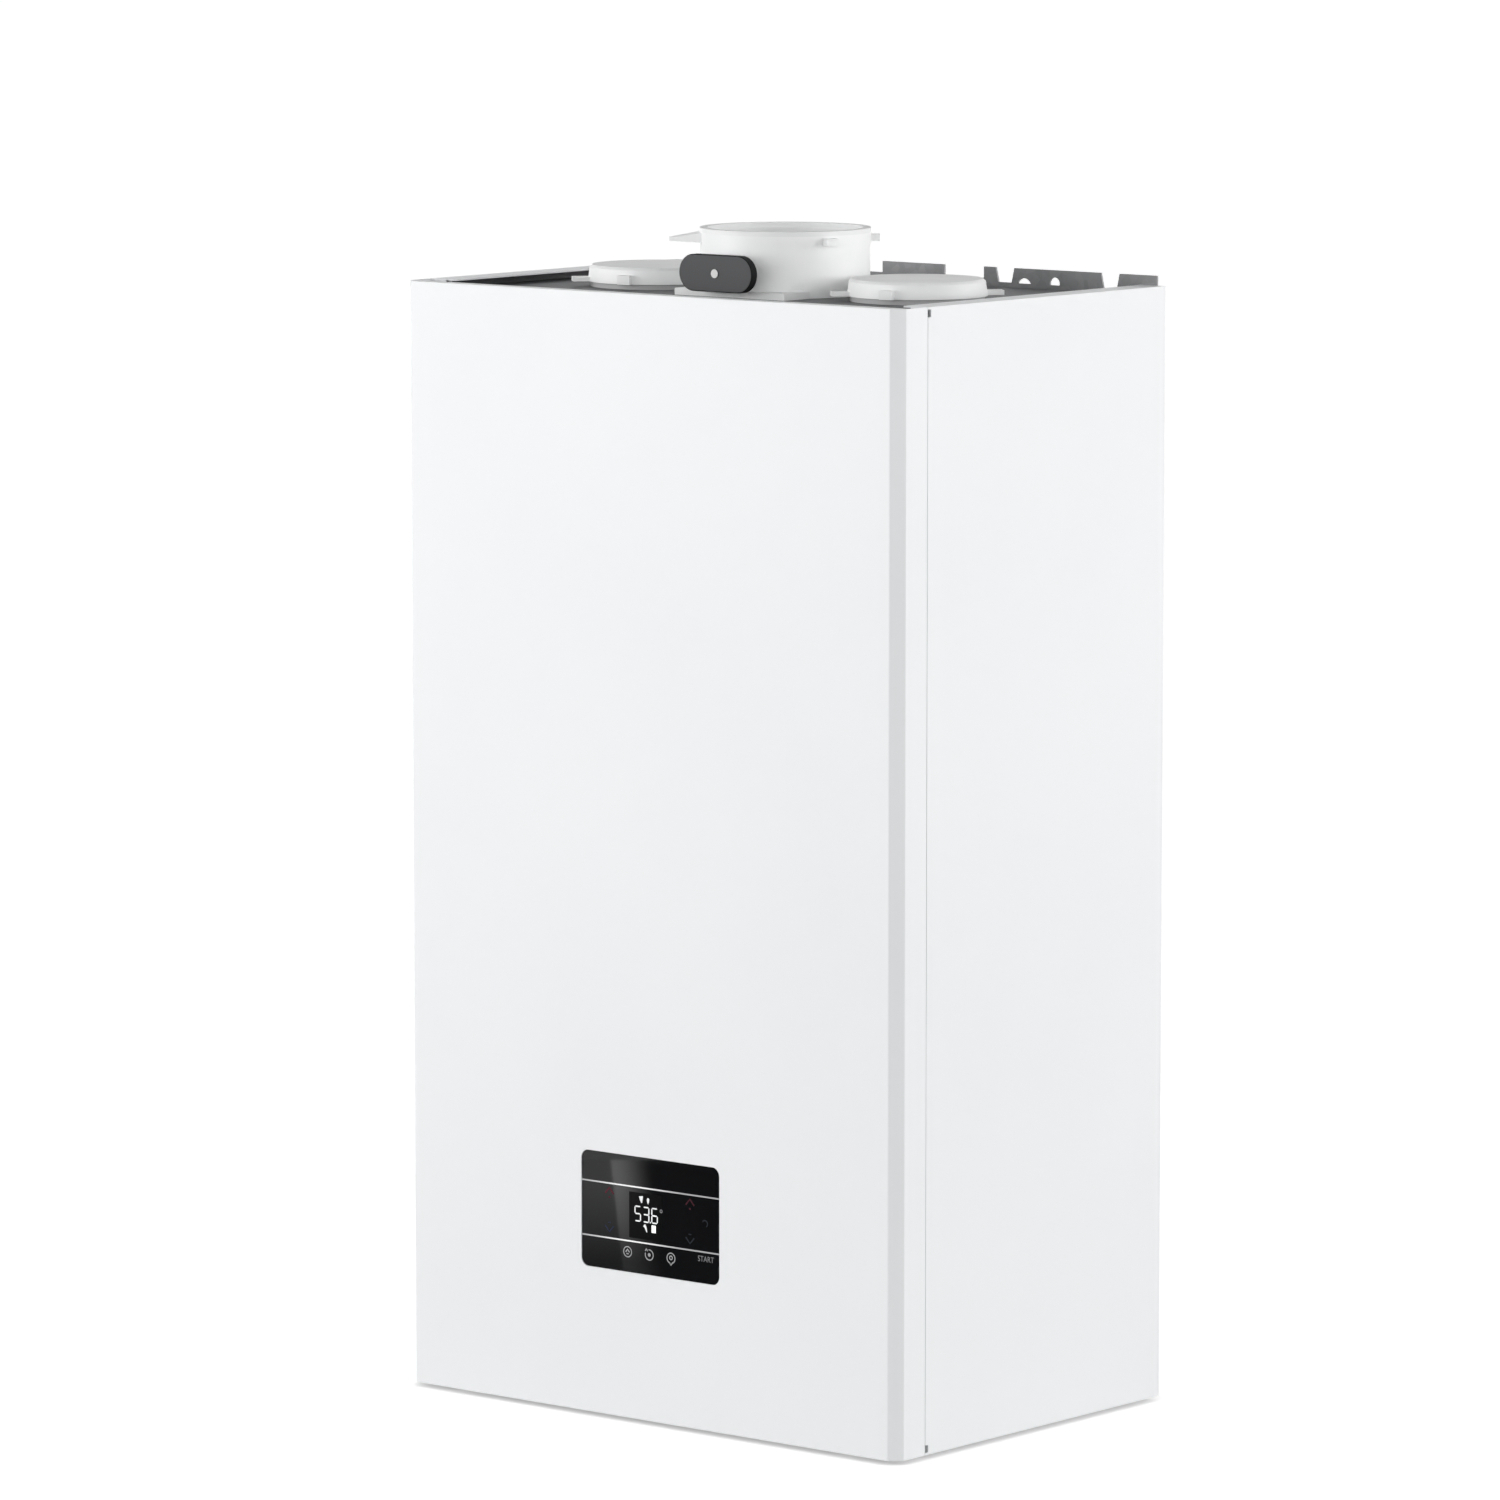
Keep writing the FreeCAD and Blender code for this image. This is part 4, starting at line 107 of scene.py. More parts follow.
# Finishes
PATTERN_SIZES = (900.0, 9.0)
TONE_SPAN = (0.32, 0.68)
COAT_ROUGHNESS = 0.12
GRAIN_DETAIL, LINE_DETAIL, PATCH_DETAIL = 3.0, 4.0, 4.0
DRAW_SQUEEZE = (1.0, 0.03, 1.0)
SPANGLE_SCALE = 170.0
GLOW_DARK_SHARE = 0.8
FINE = (0.06, 0.0002)
PLUG_FACE_GREY = (0.100, 0.101, 0.104, 1.0)
PLUG_BUTTON_WHITE = (0.74, 0.74, 0.73, 1.0)
# Grey of the pale gaskets under the cap lids: painted shade
GASKET_SHADE_GREY = (0.50, 0.50, 0.505, 1.0)
# Silver lines' colour at their painted highlight and away from it; their glow is a painted sheen
SILVER_BRIGHT, SILVER_DULL = (0.62, 0.62, 0.62), (0.26, 0.26, 0.265)
SILVER_GLOW, PRINT_GLOW, LIT_GLOW = 0.7, 0.8, 1.0

# Sampling plug and air-port gaskets: places in metres
PLUG_FACE_DEPTH = 0.0009
PLUG_BUTTON_RADIUS = 0.0029
# Below this height the gaskets are greyed as painted shade under the cap lids
GASKET_TOP = 0.745

# Camera: the photograph's viewing angle
CAMERA_TARGET = Vector((-0.027715, -0.140, 0.428086))
CAMERA_DISTANCE = 5.639453
CAMERA_AZIMUTH = math.radians(39.583)
CAMERA_ELEVATION = math.radians(7.110)
CAMERA_LENS, CAMERA_SENSOR = 203.49, 36.0
CAMERA_REACH = 100.0

# Studio: lengths in metres, lamps by place, aim, size and watts
CARD_NEAR, CARD_FAR = 0.45, 1.00
CARD_HALF_WIDTH = 0.12
CARD_HEIGHT = -0.0002
CARD_EDGE = -0.0064
CARD_FADE = 0.032
CARD_LEAN = 0.0242
CARD_DIM_AT, CARD_FULL_AT = 0.57, 0.87
CARD_DIM_SHARE = 0.2
CARD_SIDE_LEVEL = 1.07
CARD_STRIP_LEVEL = 2.86
AMBIENT = 3.5
SKY_POWER = 3.0
SEEN_WHITE = 1.0
FLOOR_BOUNCE, FLOOR_PALE = 0.42, 0.96
FLOOR_GLOW = 0.69
FLOOR_DROP = 0.003
FLOOR_SHADE, FLOOR_SHADE_REACH, FLOOR_SHADE_SAMPLES = 0.40, 0.03, 4
FLOOR_RADIUS, FLOOR_POINTS = 45.0, 64
SOFT_BOXES = {
    "front_box": ((-2.9, -3.2, 1.2), (0.0, -0.28, 0.38), 2.4, 68.0),
    "side_box": ((3.2, 1.7, 0.9), (0.21, -0.14, 0.36), 2.2, 47.0),
}


# Shader building


def set_sockets(tree, node, sockets):
    """Give each named or numbered input of a node its value, or a link where the value is an output."""
    for key, value in sockets.items():
        if isinstance(value, bpy.types.NodeSocket):
            tree.links.new(value, node.inputs[key])
        else:
            node.inputs[key].default_value = value


def add_node(tree, kind, sockets=None, **settings):
    """New shader node with its own settings, and values or links for its inputs."""
    node = tree.nodes.new("ShaderNode" + kind)
    for name, value in settings.items():
        setattr(node, name, value)
    set_sockets(tree, node, sockets or {})
    return node


def add_math(tree, operation, *values):
    """Result of one sum on numbers or outputs."""
    return add_node(tree, "Math", dict(enumerate(values)), operation=operation).outputs["Value"]


def add_range(tree, value, taken, given, curve="LINEAR"):
    """Value carried from one pair of ends to another."""
    ends = dict(zip(("From Min", "From Max", "To Min", "To Max"), (*taken, *given)))
    return add_node(tree, "MapRange", {"Value": value, **ends}, interpolation_type=curve).outputs["Result"]


def add_tones(tree, share, first, second, name="layer"):
    """Colour mixed from two by a share."""
    sockets = {"Factor": share, "A": first, "B": second}
    return add_node(tree, "Mix", sockets, data_type="RGBA", name=name).outputs["Result"]


def object_place(tree, shift=None):
    """Object coordinates, moved by a shift where one is given."""
    place = add_node(tree, "TexCoord").outputs["Object"]
    if shift is None:
        return place
    return add_node(tree, "Mapping", {"Vector": place, "Location": shift}).outputs["Vector"]


def split(tree, vector):
    """The X, Y and Z outputs of a vector."""
    return add_node(tree, "SeparateXYZ", {"Vector": vector}).outputs


def new_group(name, inputs, outputs):
    """Empty shader group with named number inputs and number outputs."""
    group = bpy.data.node_groups.new(name, "ShaderNodeTree")
    for label, value in inputs.items():
        socket = group.interface.new_socket(label, in_out="INPUT", socket_type="NodeSocketFloat")
        socket.default_value = value
    for label in outputs:
        group.interface.new_socket(label, in_out="OUTPUT", socket_type="NodeSocketFloat")
    return group, group.nodes.new("NodeGroupInput"), group.nodes.new("NodeGroupOutput")


def make_pattern(name, fine, detail, squeeze=None):
    """Height is fine noise, run out into lines where it is squeezed; Tone is broad noise for the colour."""
    sizes = dict(zip((fine, "Patch"), PATTERN_SIZES))
    group, inside, outside = new_group(name, sizes, ("Height", "Tone"))
    place = object_place(group)
    drawn = place
    if squeeze is not None:
        drawn = add_node(group, "Mapping", {"Vector": place, "Scale": squeeze}).outputs["Vector"]
    rows = (("Height", fine, drawn, detail), ("Tone", "Patch", place, PATCH_DETAIL))
    for label, size, source, depth in rows:
        sockets = {"Vector": source, "Scale": inside.outputs[size], "Detail": depth}
        noise = add_node(group, "TexNoise", sockets)
        group.links.new(noise.outputs["Fac"], outside.inputs[label])
    return group


GRAIN = make_pattern("surface_grain", "Grain", GRAIN_DETAIL)
DRAWN = make_pattern("drawn_lines", "Lines", LINE_DETAIL, DRAW_SQUEEZE)


def finish(
    name, dark, light, roughness, bump,
    pattern=GRAIN, sizes=PATTERN_SIZES, metallic=0.0, coat=0.0, specular=0.5,
):
    """Two tones mixed by the pattern's Tone, roughness between two values, and relief from its Height."""
    material = bpy.data.materials.new(name)
    material.use_nodes = True
    tree = material.node_tree
    surface = add_node(tree, "Group", node_tree=pattern)
    for socket, size in zip(surface.inputs, sizes):
        socket.default_value = size
    height = surface.outputs["Height"]
    share = add_range(tree, surface.outputs["Tone"], TONE_SPAN, (0.0, 1.0))
    strength, distance = bump
    relief = add_node(tree, "Bump", {"Strength": strength, "Distance": distance, "Height": height})
    set_sockets(tree, tree.nodes["Principled BSDF"], {
        "Metallic": metallic,
        "Coat Weight": coat,
        "Coat Roughness": COAT_ROUGHNESS,
        "Specular IOR Level": specular,
        "Base Color": add_tones(tree, share, (*dark, 1.0), (*light, 1.0), "tones"),
        "Roughness": add_range(tree, height, (0.0, 1.0), roughness),
        "Normal": relief.outputs["Normal"],
    })
    return material


def make_galvanised():
    """Zinc sheet: Voronoi cells give the crystal spangle, each with its own grey."""
    material = finish(
        "galvanised_sheet", (0.220, 0.223, 0.227), (0.275, 0.278, 0.282), (0.36, 0.52), (0.12, 0.0002),
        metallic=0.6,
    )
    tree = material.node_tree
    crystals = add_node(tree, "TexVoronoi", {"Vector": object_place(tree), "Scale": SPANGLE_SCALE})
    grey = add_node(tree, "RGBToBW", {"Color": crystals.outputs["Color"]})
    set_sockets(tree, tree.nodes["tones"], {"Factor": grey.outputs["Val"]})
    return material


def make_plug_rubber():
    """Plug: grey face, black sides behind it, and a white button inside a circle round the face's middle."""
    material = finish(
        "plug_rubber", (0.006, 0.006, 0.0065), (0.010, 0.010, 0.0105), (0.55, 0.72), (0.16, 0.0002),
        sizes=(1400.0, 60.0), specular=0.12,
    )
    tree = material.node_tree
    low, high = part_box("sampling_plug")
    centred = object_place(tree, (0.0, -low.y, -(low.z + high.z) / 2))
    face = add_math(tree, "LESS_THAN", split(tree, centred)["Y"], PLUG_FACE_DEPTH)
    flat = add_node(tree, "VectorMath", {0: centred, 1: (1.0, 0.0, 1.0)}, operation="MULTIPLY")
    reach = add_node(tree, "VectorMath", {0: flat.outputs["Vector"]}, operation="LENGTH")
    button = add_math(tree, "LESS_THAN", reach.outputs["Value"], PLUG_BUTTON_RADIUS)
    shown = add_math(tree, "MULTIPLY", face, button)
    faced = add_tones(tree, face, tree.nodes["tones"].outputs["Result"], PLUG_FACE_GREY)
    colour = add_tones(tree, shown, faced, PLUG_BUTTON_WHITE)
    set_sockets(tree, tree.nodes["Principled BSDF"], {"Base Color": colour})
    return material


def make_port_silicone():
    """Pale lip rings, and a greyer tone below the height at which the air ports' gaskets end, which is
    painted shade under the cap lids.
    """
    material = finish(
        "port_silicone", (0.84, 0.85, 0.85), (0.88, 0.885, 0.88), (0.50, 0.62), (0.10, 0.0002),
        sizes=(1200.0, 40.0),
    )
    tree = material.node_tree
    # Painted shade: grey below the gasket top, under the cap lids
    low = add_math(tree, "LESS_THAN", split(tree, object_place(tree))["Z"], GASKET_TOP)
    colour = add_tones(tree, low, tree.nodes["tones"].outputs["Result"], GASKET_SHADE_GREY)
    set_sockets(tree, tree.nodes["Principled BSDF"], {"Base Color": colour})
    return material


def make_glow(name, colour, strength):
    """Printed or lit mark: its own colour with a little light, uneven like a diffused lamp."""
    dark = tuple(GLOW_DARK_SHARE * part for part in colour)
    material = finish(
        name, dark, colour, (0.30, 0.40), (0.02, 0.0001),
        sizes=(500.0, 160.0), specular=0.1,
    )
    tree = material.node_tree
    glow = {"Emission Color": tree.nodes["tones"].outputs["Result"], "Emission Strength": strength}
    set_sockets(tree, tree.nodes["Principled BSDF"], glow)
    return material


def make_silver_print():
    """Silver lines with a painted highlight and sheen: they glow, brightest at one place along X and duller
    with the distance from it.
    """
    material = make_glow("silver_print", SILVER_BRIGHT, SILVER_GLOW)
    tree = material.node_tree
    centred = object_place(tree, (-SILVER_HIGHLIGHT_PLACE * MILLIMETRE, 0.0, 0.0))
    # Painted highlight: the silver fades from bright to dull with the distance from its brightest place
    distance = add_math(tree, "ABSOLUTE", split(tree, centred)["X"])
    highlight_fade = add_range(tree, distance, (0.0, SILVER_HIGHLIGHT_REACH * MILLIMETRE), (0.0, 1.0), "SMOOTHSTEP")
    ends = {"Factor": highlight_fade, "A": (*SILVER_BRIGHT, 1.0), "B": (*SILVER_DULL, 1.0)}
    set_sockets(tree, tree.nodes["tones"], ends)
    return material


FINISHES = {
    "white_paint": finish(
        "powder_coat", (0.868, 0.881, 0.894), (0.888, 0.900, 0.910), (0.36, 0.46), FINE,
        sizes=(700.0, 5.0),
    ),
    "grey_paint": finish(
        "matt_grey_coat", (0.100, 0.103, 0.107), (0.130, 0.133, 0.137), (0.55, 0.70), (0.15, 0.0002),
    ),
    "zinc_sheet": make_galvanised(),
    "zinc_screw": finish(
        "bright_zinc", (0.60, 0.60, 0.58), (0.78, 0.78, 0.76), (0.22, 0.36), FINE,
        sizes=(1500.0, 120.0), metallic=1.0,
    ),
    "rubber": finish(
        "moulded_rubber", (0.050, 0.051, 0.053), (0.078, 0.079, 0.082), (0.62, 0.80), (0.18, 0.0002),
        sizes=(1400.0, 60.0),
    ),
    "pale_silicone": make_port_silicone(),
    "white_plastic": finish(
        "white_moulding", (0.885, 0.895, 0.895), (0.925, 0.93, 0.925), (0.38, 0.50), (0.08, 0.0002),
        sizes=(1300.0, 30.0),
    ),
    "vessel_paint": finish(
        "red_enamel", (0.46, 0.030, 0.024), (0.60, 0.050, 0.038), (0.28, 0.40), FINE,
        sizes=(420.0, 7.0), coat=0.6,
    ),
    "stainless": finish(
        "drawn_stainless", (0.52, 0.52, 0.51), (0.70, 0.70, 0.69), (0.24, 0.42), (0.10, 0.0002),
        DRAWN, (700.0, 14.0), metallic=1.0,
    ),
    "cast_aluminium": finish(
        "blasted_casting", (0.36, 0.36, 0.365), (0.46, 0.46, 0.465), (0.44, 0.62), (0.40, 0.0004),
        sizes=(1100.0, 26.0), metallic=0.9,
    ),
    "ceramic": finish(
        "fired_ceramic", (0.80, 0.77, 0.70), (0.90, 0.88, 0.83), (0.45, 0.60), (0.12, 0.0002),
        sizes=(1500.0, 200.0),
    ),
    "black_plastic": finish(
        "glass_filled_moulding", (0.030, 0.030, 0.032), (0.048, 0.048, 0.051), (0.46, 0.62), (0.16, 0.0003),
        sizes=(1200.0, 24.0),
    ),
    "motor_paint": finish(
        "matt_motor_coat", (0.060, 0.062, 0.066), (0.085, 0.087, 0.092), (0.48, 0.64), (0.14, 0.0002),
        sizes=(900.0, 20.0),
    ),
    "copper": finish(
        "drawn_copper", (0.64, 0.33, 0.205), (0.76, 0.43, 0.285), (0.20, 0.38), FINE,
        DRAWN, (600.0, 34.0), metallic=1.0,
    ),
    "brass": finish(
        "machined_brass", (0.62, 0.48, 0.22), (0.78, 0.64, 0.34), (0.22, 0.36), FINE,
        DRAWN, (900.0, 50.0), metallic=1.0,
    ),
    "red_plastic": finish(
        "red_knob_moulding", (0.52, 0.030, 0.025), (0.64, 0.045, 0.035), (0.30, 0.42), FINE,
        sizes=(1200.0, 60.0),
    ),
    "blue_plastic": finish(
        "blue_knob_moulding", (0.035, 0.11, 0.42), (0.05, 0.15, 0.52), (0.30, 0.42), FINE,
        sizes=(1200.0, 60.0),
    ),
    "board": finish(
        "lacquered_board", (0.030, 0.17, 0.07), (0.060, 0.26, 0.12), (0.30, 0.50), (0.30, 0.0003),
        sizes=(420.0, 90.0),
    ),
    "display": finish(
        "black_glass", (0.0060, 0.0062, 0.0068), (0.0075, 0.0078, 0.0085), (0.015, 0.035), (0.004, 0.0001),
        sizes=(300.0, 12.0), specular=0.35,
    ),
}
DARK_WINDOW = finish(
    "dark_window", (0.0030, 0.0031, 0.0033), (0.0040, 0.0041, 0.0044), (0.10, 0.16), (0.01, 0.0001),
    specular=0.08,
)
PRINT_SILVER = make_silver_print()
PRINT_GREY = make_glow("grey_print", (0.15, 0.15, 0.154), PRINT_GLOW)
PRINT_PALE = make_glow("pale_print", (0.23, 0.23, 0.235), PRINT_GLOW)
LIT_WHITE = make_glow("lit_white", (0.56, 0.57, 0.57), LIT_GLOW)
LIT_BRIGHT = make_glow("lit_bright", (0.76, 0.76, 0.75), LIT_GLOW)
LIT_RED = make_glow("lit_red", (0.052, 0.006, 0.013), LIT_GLOW)
DIM_RED = make_glow("dim_red", (0.026, 0.004, 0.008), LIT_GLOW)
LIT_BLUE = make_glow("lit_blue", (0.010, 0.013, 0.028), LIT_GLOW)
DIM_BLUE = make_glow("dim_blue", (0.007, 0.009, 0.012), LIT_GLOW)

for subpart in frame["record"]["subparts"]:
    node = frame["nodes"][subpart["node"]]
    node.data.materials.clear()
    node.data.materials.append(FINISHES[subpart["material_slot"]])
frame["nodes"]["sampling_plug"].data.materials[0] = make_plug_rubber()


# Marks on the display


GLASS_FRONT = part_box("display_glass")[0].y / MILLIMETRE
SEGMENT_ENDS = {
    "a": ((0, 2), (1, 2)),
    "b": ((1, 2), (1, 1)),
    "c": ((1, 1), (1, 0)),
    "d": ((0, 0), (1, 0)),
    "e": ((0, 1), (0, 0)),
    "f": ((0, 2), (0, 1)),
    "g": ((0, 1), (1, 1)),
}
LIT_SEGMENTS = {"5": "afgcd", "3": "abgcd", "6": "afgecd"}


def put_in_scene(name, data):
    """New object of a mesh, lamp or camera, at the origin."""
    thing = bpy.data.objects.new(name, data)
    scene.collection.objects.link(thing)
    return thing


def new_sheet(name, corners, faces, material):
    """Object of one flat mesh with one material."""
    mesh = bpy.data.meshes.new(name)
    mesh.from_pydata(corners.tolist(), [], faces)
    mesh.materials.append(material)
    return put_in_scene(name, mesh)


def on_glass(flat, lift=PRINT_LIFT):
    """Points in metres from x and z in millimetres, lifted off the glass by the given amount."""
    depth = np.full(len(flat), GLASS_FRONT - lift)
    return np.stack([flat[:, 0], depth, flat[:, 1]], axis=1) * MILLIMETRE


def ribbon(line, half_width):
    """Flat band: every point of a line is moved both ways along the line's normal by the half width there."""
    line = np.asarray(line, float)
    along = np.gradient(line, axis=0)
    along /= np.linalg.norm(along, axis=1, keepdims=True)
    normal = np.stack([-along[:, 1], along[:, 0]], axis=1)
    across = normal * np.broadcast_to(half_width, len(line))[:, None]
    points = np.concatenate([line - across, line + across])
    first = np.arange(len(line) - 1)
    faces = np.stack([first, first + 1, first + 1 + len(line), first + len(line)], axis=1)
    return points, faces


def arc_ribbon(centre, radius, half_width, start=0.0, end=360.0):
    """Band along a circle: the angle runs evenly between two values in degrees."""
    angle = np.radians(np.linspace(start, end, ARC_POINTS))
    line = np.stack([centre[0] + radius * np.cos(angle), centre[1] + radius * np.sin(angle)], axis=1)
    return ribbon(line, half_width)


def bar(left, right, low, high):
    """Rectangle as a level band whose half width is half its height."""
    middle = (low + high) / 2
    return ribbon([(left, middle), (right, middle)], (high - low) / 2)


def chevron(x, z, width, height, half_width):
    """Open arrow head: two straight strokes that meet at a point; a negative height points down."""
    steps = np.array([-2.0, -1.0, 0.0, 1.0, 2.0])
    line = np.stack([x + steps * width / 4, z + (2.0 - np.abs(steps)) * height / 2], axis=1)
    return ribbon(line, half_width)


def drop(x, z, width, height):
    """Upright drop: the half width grows as a sine and is pulled down towards the foot."""
    step = np.linspace(0.0, 1.0, DROP_POINTS)
    line = np.stack([np.full(DROP_POINTS, x), z + height * step], axis=1)
    return ribbon(line, width / 2 * np.sin(math.pi * (1 - step) ** DROP_PULL) + DROP_TIP)


def digit_bands(figure, left):
    """Seven-segment figure: each lit segment is a band that tapers to a point at both ends."""
    corner = np.array([left + DIGIT_HALF, DIGIT_LOW + DIGIT_HALF])
    size = np.array([DIGIT_WIDTH - 2 * DIGIT_HALF, (DIGIT_HIGH - DIGIT_LOW) / 2 - DIGIT_HALF])
    steps = np.array(SEGMENT_STEPS)[:, None]
    bands = []
    for name in LIT_SEGMENTS[figure]:
        start, end = (corner + np.array(place) * size for place in SEGMENT_ENDS[name])
        bands.append(ribbon(start + (end - start) * steps, [0.0, DIGIT_HALF, DIGIT_HALF, 0.0]))
    return bands


def carry(mark):
    """The controls carry the mark."""
    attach(mark, "controls")


def place_marks(name, bands, material, lift=PRINT_LIFT):
    """One mesh from all bands, lifted off the glass by the given amount."""
    points, faces, count = [], [], 0
    for band_points, band_faces in bands:
        points.append(band_points)
        faces.append(band_faces + count)
        count += len(band_points)
    corners = on_glass(np.concatenate(points), lift)
    carry(new_sheet(name, corners, np.concatenate(faces).tolist(), material))


def place_word():
    """Small key word in the built-in letters, made a mesh and laid on the glass."""
    letters = bpy.data.curves.new("start_word", "FONT")
    letters.body = "START"
    letters.size = WORD_HEIGHT * LETTER_SIZE_PER_HEIGHT
    helper = put_in_scene("start_letters", letters)
    bpy.context.view_layer.update()
    mesh = bpy.data.meshes.new_from_object(helper.evaluated_get(bpy.context.evaluated_depsgraph_get()))
    bpy.data.objects.remove(helper)
    flat = np.empty(len(mesh.vertices) * 3)
    mesh.vertices.foreach_get("co", flat)
    flat = flat.reshape(-1, 3)[:, :2] * (LETTER_SQUEEZE, 1.0) + WORD_PLACE
    mesh.vertices.foreach_set("co", on_glass(flat).ravel())
    mesh.update()
    mesh.materials.clear()
    mesh.materials.append(PRINT_GREY)
    carry(put_in_scene("start_word", mesh))


def place_window():
    """Dark window with its figures and signs, between the two silver lines."""
    place_marks("display_window", [bar(*WINDOW_EDGES)], DARK_WINDOW, PRINT_LIFT / 2)
    lines = [bar(GLASS_LEFT, GLASS_RIGHT, z - LINE_HALF, z + LINE_HALF) for z in LINE_HEIGHTS]
    place_marks("display_lines", lines, PRINT_SILVER)
    bands = []
    for step, figure in enumerate(FIGURES):
        bands.extend(digit_bands(figure, DIGIT_LEFT + step * DIGIT_PITCH))
    point_x = DIGIT_LEFT + 2 * DIGIT_PITCH - (DIGIT_PITCH - DIGIT_WIDTH) / 2
    bands.append(bar(point_x - POINT_HALF, point_x + POINT_HALF, DIGIT_LOW, DIGIT_LOW + POINT_HEIGHT))
    bands.append(ribbon(FLAME_LINE, FLAME_HALVES))
    bands.append(drop(*DROP_FOOT, DROP_WIDTH, DROP_HEIGHT))
    bands.append(ribbon(TICK_LINE, TICK_HALVES))
    place_marks("display_figures", bands, LIT_WHITE)
    place_marks("display_block", [bar(*BLOCK_EDGES)], LIT_BRIGHT)
    place_marks("degree_mark", [arc_ribbon(DEGREE_PLACE, DEGREE_RADIUS, DEGREE_HALF)], PRINT_GREY)


def place_icons():
    """Ring with a house, open ring with a timer's head and hub, and ring drawn out to a pin."""
    z = ICON_HEIGHT
    left, middle, right = ICON_PLACES
    bands = [
        arc_ribbon((left, z), ICON_RADIUS, ICON_HALF),
        chevron(left, z - ROOF_DROP, *ROOF_SIZE, STROKE_HALF),
        bar(left - SILL_HALF, left + SILL_HALF, z - SILL_LOW, z - SILL_HIGH),
        arc_ribbon((middle, z), ICON_RADIUS, ICON_HALF, *TIMER_ARC),
        arc_ribbon((middle, z), TIMER_HUB, TIMER_HUB),
        chevron(middle - TIMER_HEAD_SHIFT, z + TIMER_HEAD_SHIFT, *TIMER_HEAD_SIZE, STROKE_HALF),
        arc_ribbon((right, z), ICON_RADIUS, ICON_HALF, *PIN_ARC),
        chevron(right, z - PIN_FOOT_DROP, *PIN_FOOT_SIZE, STROKE_HALF),
        arc_ribbon((right, z + PIN_EYE_RISE), PIN_EYE_RADIUS, PIN_EYE_HALF),
    ]
    place_marks("key_icons", bands, PRINT_PALE)


def place_arrows():
    """Touch arrows up and down on both sides of the window, and the mode sign."""
    rows = (("left", LIT_RED, LIT_BLUE), ("right", DIM_RED, DIM_BLUE))
    for x, (side, red, blue) in zip(ARROW_PLACES, rows):
        raiser = [
            chevron(x, RAISE_FOOT, ARROW_WIDTH, ARROW_HEIGHT, RAISE_HALF),
            bar(x - RAISE_DOT_HALF, x + RAISE_DOT_HALF, RAISE_DOT_LOW, RAISE_DOT_HIGH),
        ]
        place_marks(side + "_raise_key", raiser, red)
        lowerer = [
            chevron(x, LOWER_HEAD, ARROW_WIDTH, -ARROW_HEIGHT, LOWER_HALF),
            bar(x - LOWER_DASH_HALF, x + LOWER_DASH_HALF, LOWER_DASH_LOW, LOWER_DASH_HIGH),
        ]
        place_marks(side + "_lower_key", lowerer, blue)
    place_marks("mode_key", [arc_ribbon(MODE_PLACE, MODE_RADIUS, MODE_HALF, *MODE_ARC)], DIM_BLUE)


place_window()
place_icons()
place_arrows()
place_word()


# Studio and camera


def camera_place():
    """Point on the line of sight from the target, turned by the azimuth and raised by the elevation."""
    level = CAMERA_DISTANCE * math.cos(CAMERA_ELEVATION)
    return CAMERA_TARGET + Vector((
        math.sin(CAMERA_AZIMUTH) * level,
        -math.cos(CAMERA_AZIMUTH) * level,
        math.sin(CAMERA_ELEVATION) * CAMERA_DISTANCE,
    ))


def new_tree(name):
    """Material with an empty node tree."""
    material = bpy.data.materials.new(name)
    material.use_nodes = True
    material.node_tree.nodes.clear()
    return material, material.node_tree


def make_floor_paint():
    """Pale to the camera and mirrors apart from the shadow, with a glow that falls close to the object as a
    painted contact shadow.

    It is duller in the light that it throws back, and clear when seen from below.
    """
    material, tree = new_tree("pale_floor")
    rays = add_node(tree, "LightPath").outputs
    seen = add_math(tree, "MAXIMUM", rays["Is Camera Ray"], rays["Is Glossy Ray"])
    tone = add_range(tree, seen, (0.0, 1.0), (FLOOR_BOUNCE, FLOOR_PALE))
    matt = add_node(tree, "BsdfDiffuse", {"Color": tone})
    nearby = {"Distance": FLOOR_SHADE_REACH}
    # Painted contact shadow: the glow drops where the occlusion node finds the object close by
    contact_occlusion = add_node(tree, "AmbientOcclusion", nearby, samples=FLOOR_SHADE_SAMPLES)
    shade = add_range(tree, contact_occlusion.outputs["AO"], (0.0, 1.0), (FLOOR_GLOW * FLOOR_SHADE, FLOOR_GLOW))
    white = add_node(tree, "Emission", {"Strength": add_math(tree, "MULTIPLY", seen, shade)})
    top = add_node(tree, "AddShader", {0: matt.outputs["BSDF"], 1: white.outputs["Emission"]})
    clear = add_node(tree, "BsdfTransparent")
    below = add_node(tree, "NewGeometry").outputs["Backfacing"]
    both = add_node(tree, "MixShader", {"Fac": below, 1: top.outputs["Shader"], 2: clear.outputs["BSDF"]})
    add_node(tree, "OutputMaterial", {"Surface": both.outputs["Shader"]})
    return material


def make_floor():
    """Round floor: points at even angles on a circle, a little below the object."""
    angle = np.linspace(0.0, 2 * math.pi, FLOOR_POINTS, endpoint=False)
    rim = np.stack([np.cos(angle), np.sin(angle), np.zeros(FLOOR_POINTS)], axis=1) * FLOOR_RADIUS
    floor = new_sheet("floor", rim, [list(range(FLOOR_POINTS))], make_floor_paint())
    floor.location.z = -FLOOR_DROP


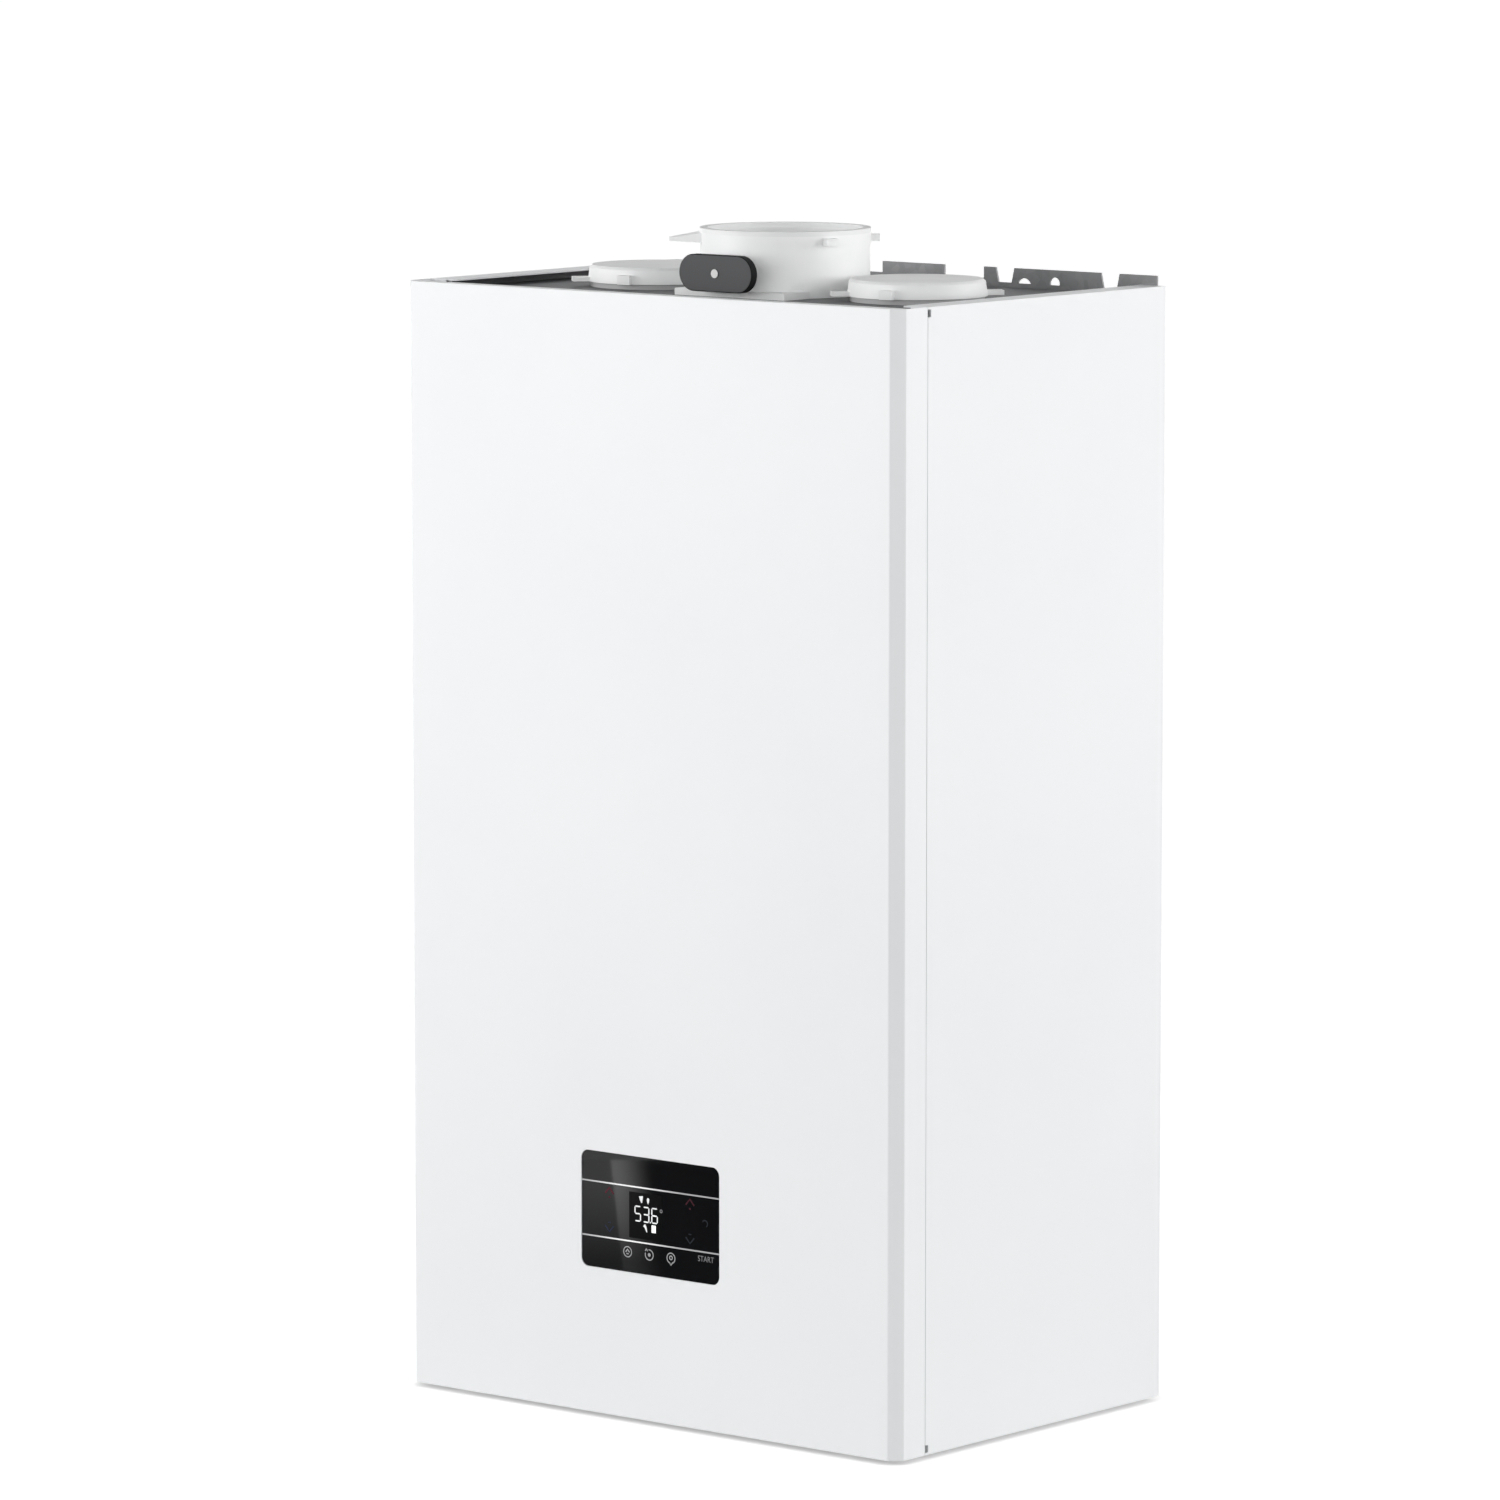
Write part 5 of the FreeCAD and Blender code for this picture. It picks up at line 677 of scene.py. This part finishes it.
def make_card_light():
    """Light that only mirrors show: a grey side ends at a bright strip that fades out to black.

    That is across the card, on the UV map's X with a lean; along its Y the light grows.
    """
    material, tree = new_tree("mirror_card")
    place = split(tree, add_node(tree, "UVMap", uv_map="card").outputs["UV"])
    lean = add_math(tree, "MULTIPLY_ADD", place["Y"], CARD_LEAN, place["X"])
    span = (CARD_EDGE, CARD_EDGE + CARD_FADE)
    strip = add_range(tree, lean, span, (CARD_STRIP_LEVEL, 0.0), "SMOOTHSTEP")
    left = add_math(tree, "LESS_THAN", lean, CARD_EDGE)
    level = add_node(tree, "Mix", {"Factor": left, "A": strip, "B": CARD_SIDE_LEVEL}).outputs["Result"]
    growth = add_range(tree, place["Y"], (CARD_DIM_AT, CARD_FULL_AT), (CARD_DIM_SHARE, 1.0))
    light = add_node(tree, "Emission", {"Strength": add_math(tree, "MULTIPLY", level, growth)})
    clear = add_node(tree, "BsdfTransparent")
    mirrored = add_node(tree, "LightPath").outputs["Is Glossy Ray"]
    both = {"Fac": mirrored, 1: clear.outputs["BSDF"], 2: light.outputs["Emission"]}
    shown = add_node(tree, "MixShader", both)
    add_node(tree, "OutputMaterial", {"Surface": shown.outputs["Shader"]})
    return material


def make_card():
    """Flat card on the floor, at the place where the glass reflects it to the camera: four corners to both
    sides of the mirrored line of sight, at a near and a far distance.
    """
    low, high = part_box("display_glass")
    glass = np.array([(low.x + high.x) / 2, low.y])
    sight = np.array(camera_place()[:2]) - glass
    ahead = np.array([-1.0, 1.0]) * sight / np.linalg.norm(sight)
    across = np.array([-ahead[1], ahead[0]])
    side = np.array([-1.0, 1.0, 1.0, -1.0])[:, None] * CARD_HALF_WIDTH
    reach = np.array([CARD_NEAR, CARD_NEAR, CARD_FAR, CARD_FAR])[:, None]
    flat = glass + side * across + reach * ahead
    corners = np.concatenate([flat, np.full((4, 1), CARD_HEIGHT)], axis=1)
    card = new_sheet("mirror_card", corners, [[0, 1, 2, 3]], make_card_light())
    layer = card.data.uv_layers.new(name="card")
    layer.data.foreach_set("uv", np.concatenate([side, reach], axis=1).ravel())
    card.visible_shadow = False


def make_world():
    """Soft light that falls with a power of one minus the height of the sky, like a ring of tall boxes.

    The camera, mirrors and glass see plain white.
    """
    world = bpy.data.worlds.new("studio")
    scene.world = world
    world.use_nodes = True
    tree = world.node_tree
    tree.nodes.clear()
    rays = add_node(tree, "LightPath").outputs
    mirrored = add_math(tree, "MAXIMUM", rays["Is Camera Ray"], rays["Is Glossy Ray"])
    seen = add_math(tree, "MAXIMUM", mirrored, rays["Is Transmission Ray"])
    height = split(tree, add_node(tree, "TexCoord").outputs["Generated"])["Z"]
    depth = add_range(tree, height, (0.0, 1.0), (1.0, 0.0))
    sky = add_math(tree, "MULTIPLY", add_math(tree, "POWER", depth, SKY_POWER), AMBIENT)
    level = add_node(tree, "Mix", {"Factor": seen, "A": sky, "B": SEEN_WHITE}).outputs["Result"]
    light = add_node(tree, "Background", {"Color": (1.0, 1.0, 1.0, 1.0), "Strength": level})
    add_node(tree, "OutputWorld", {"Surface": light.outputs["Background"]})


def make_lamp(name, place, aim, size, power):
    """Square soft box at a place, turned towards a point."""
    lamp = bpy.data.lights.new(name, "AREA")
    lamp.size = size
    lamp.energy = power
    box = put_in_scene(name, lamp)
    box.location = place
    box.rotation_euler = (Vector(aim) - Vector(place)).to_track_quat("-Z", "Y").to_euler()


def make_camera():
    """Level camera at its place, looking at the target, with the photograph's lens."""
    place = camera_place()
    back = (place - CAMERA_TARGET).normalized()
    right = Vector((math.cos(CAMERA_AZIMUTH), math.sin(CAMERA_AZIMUTH), 0.0))
    up = back.cross(right)
    data = bpy.data.cameras.new("camera")
    data.sensor_width = CAMERA_SENSOR
    data.lens = CAMERA_LENS
    data.clip_end = CAMERA_REACH
    camera = put_in_scene("camera", data)
    turn = Matrix((right, up, back)).transposed()
    camera.matrix_world = Matrix.Translation(place) @ turn.to_4x4()
    scene.camera = camera


make_floor()
make_card()
make_world()
for lamp_name, lamp_values in SOFT_BOXES.items():
    make_lamp(lamp_name, *lamp_values)
make_camera()
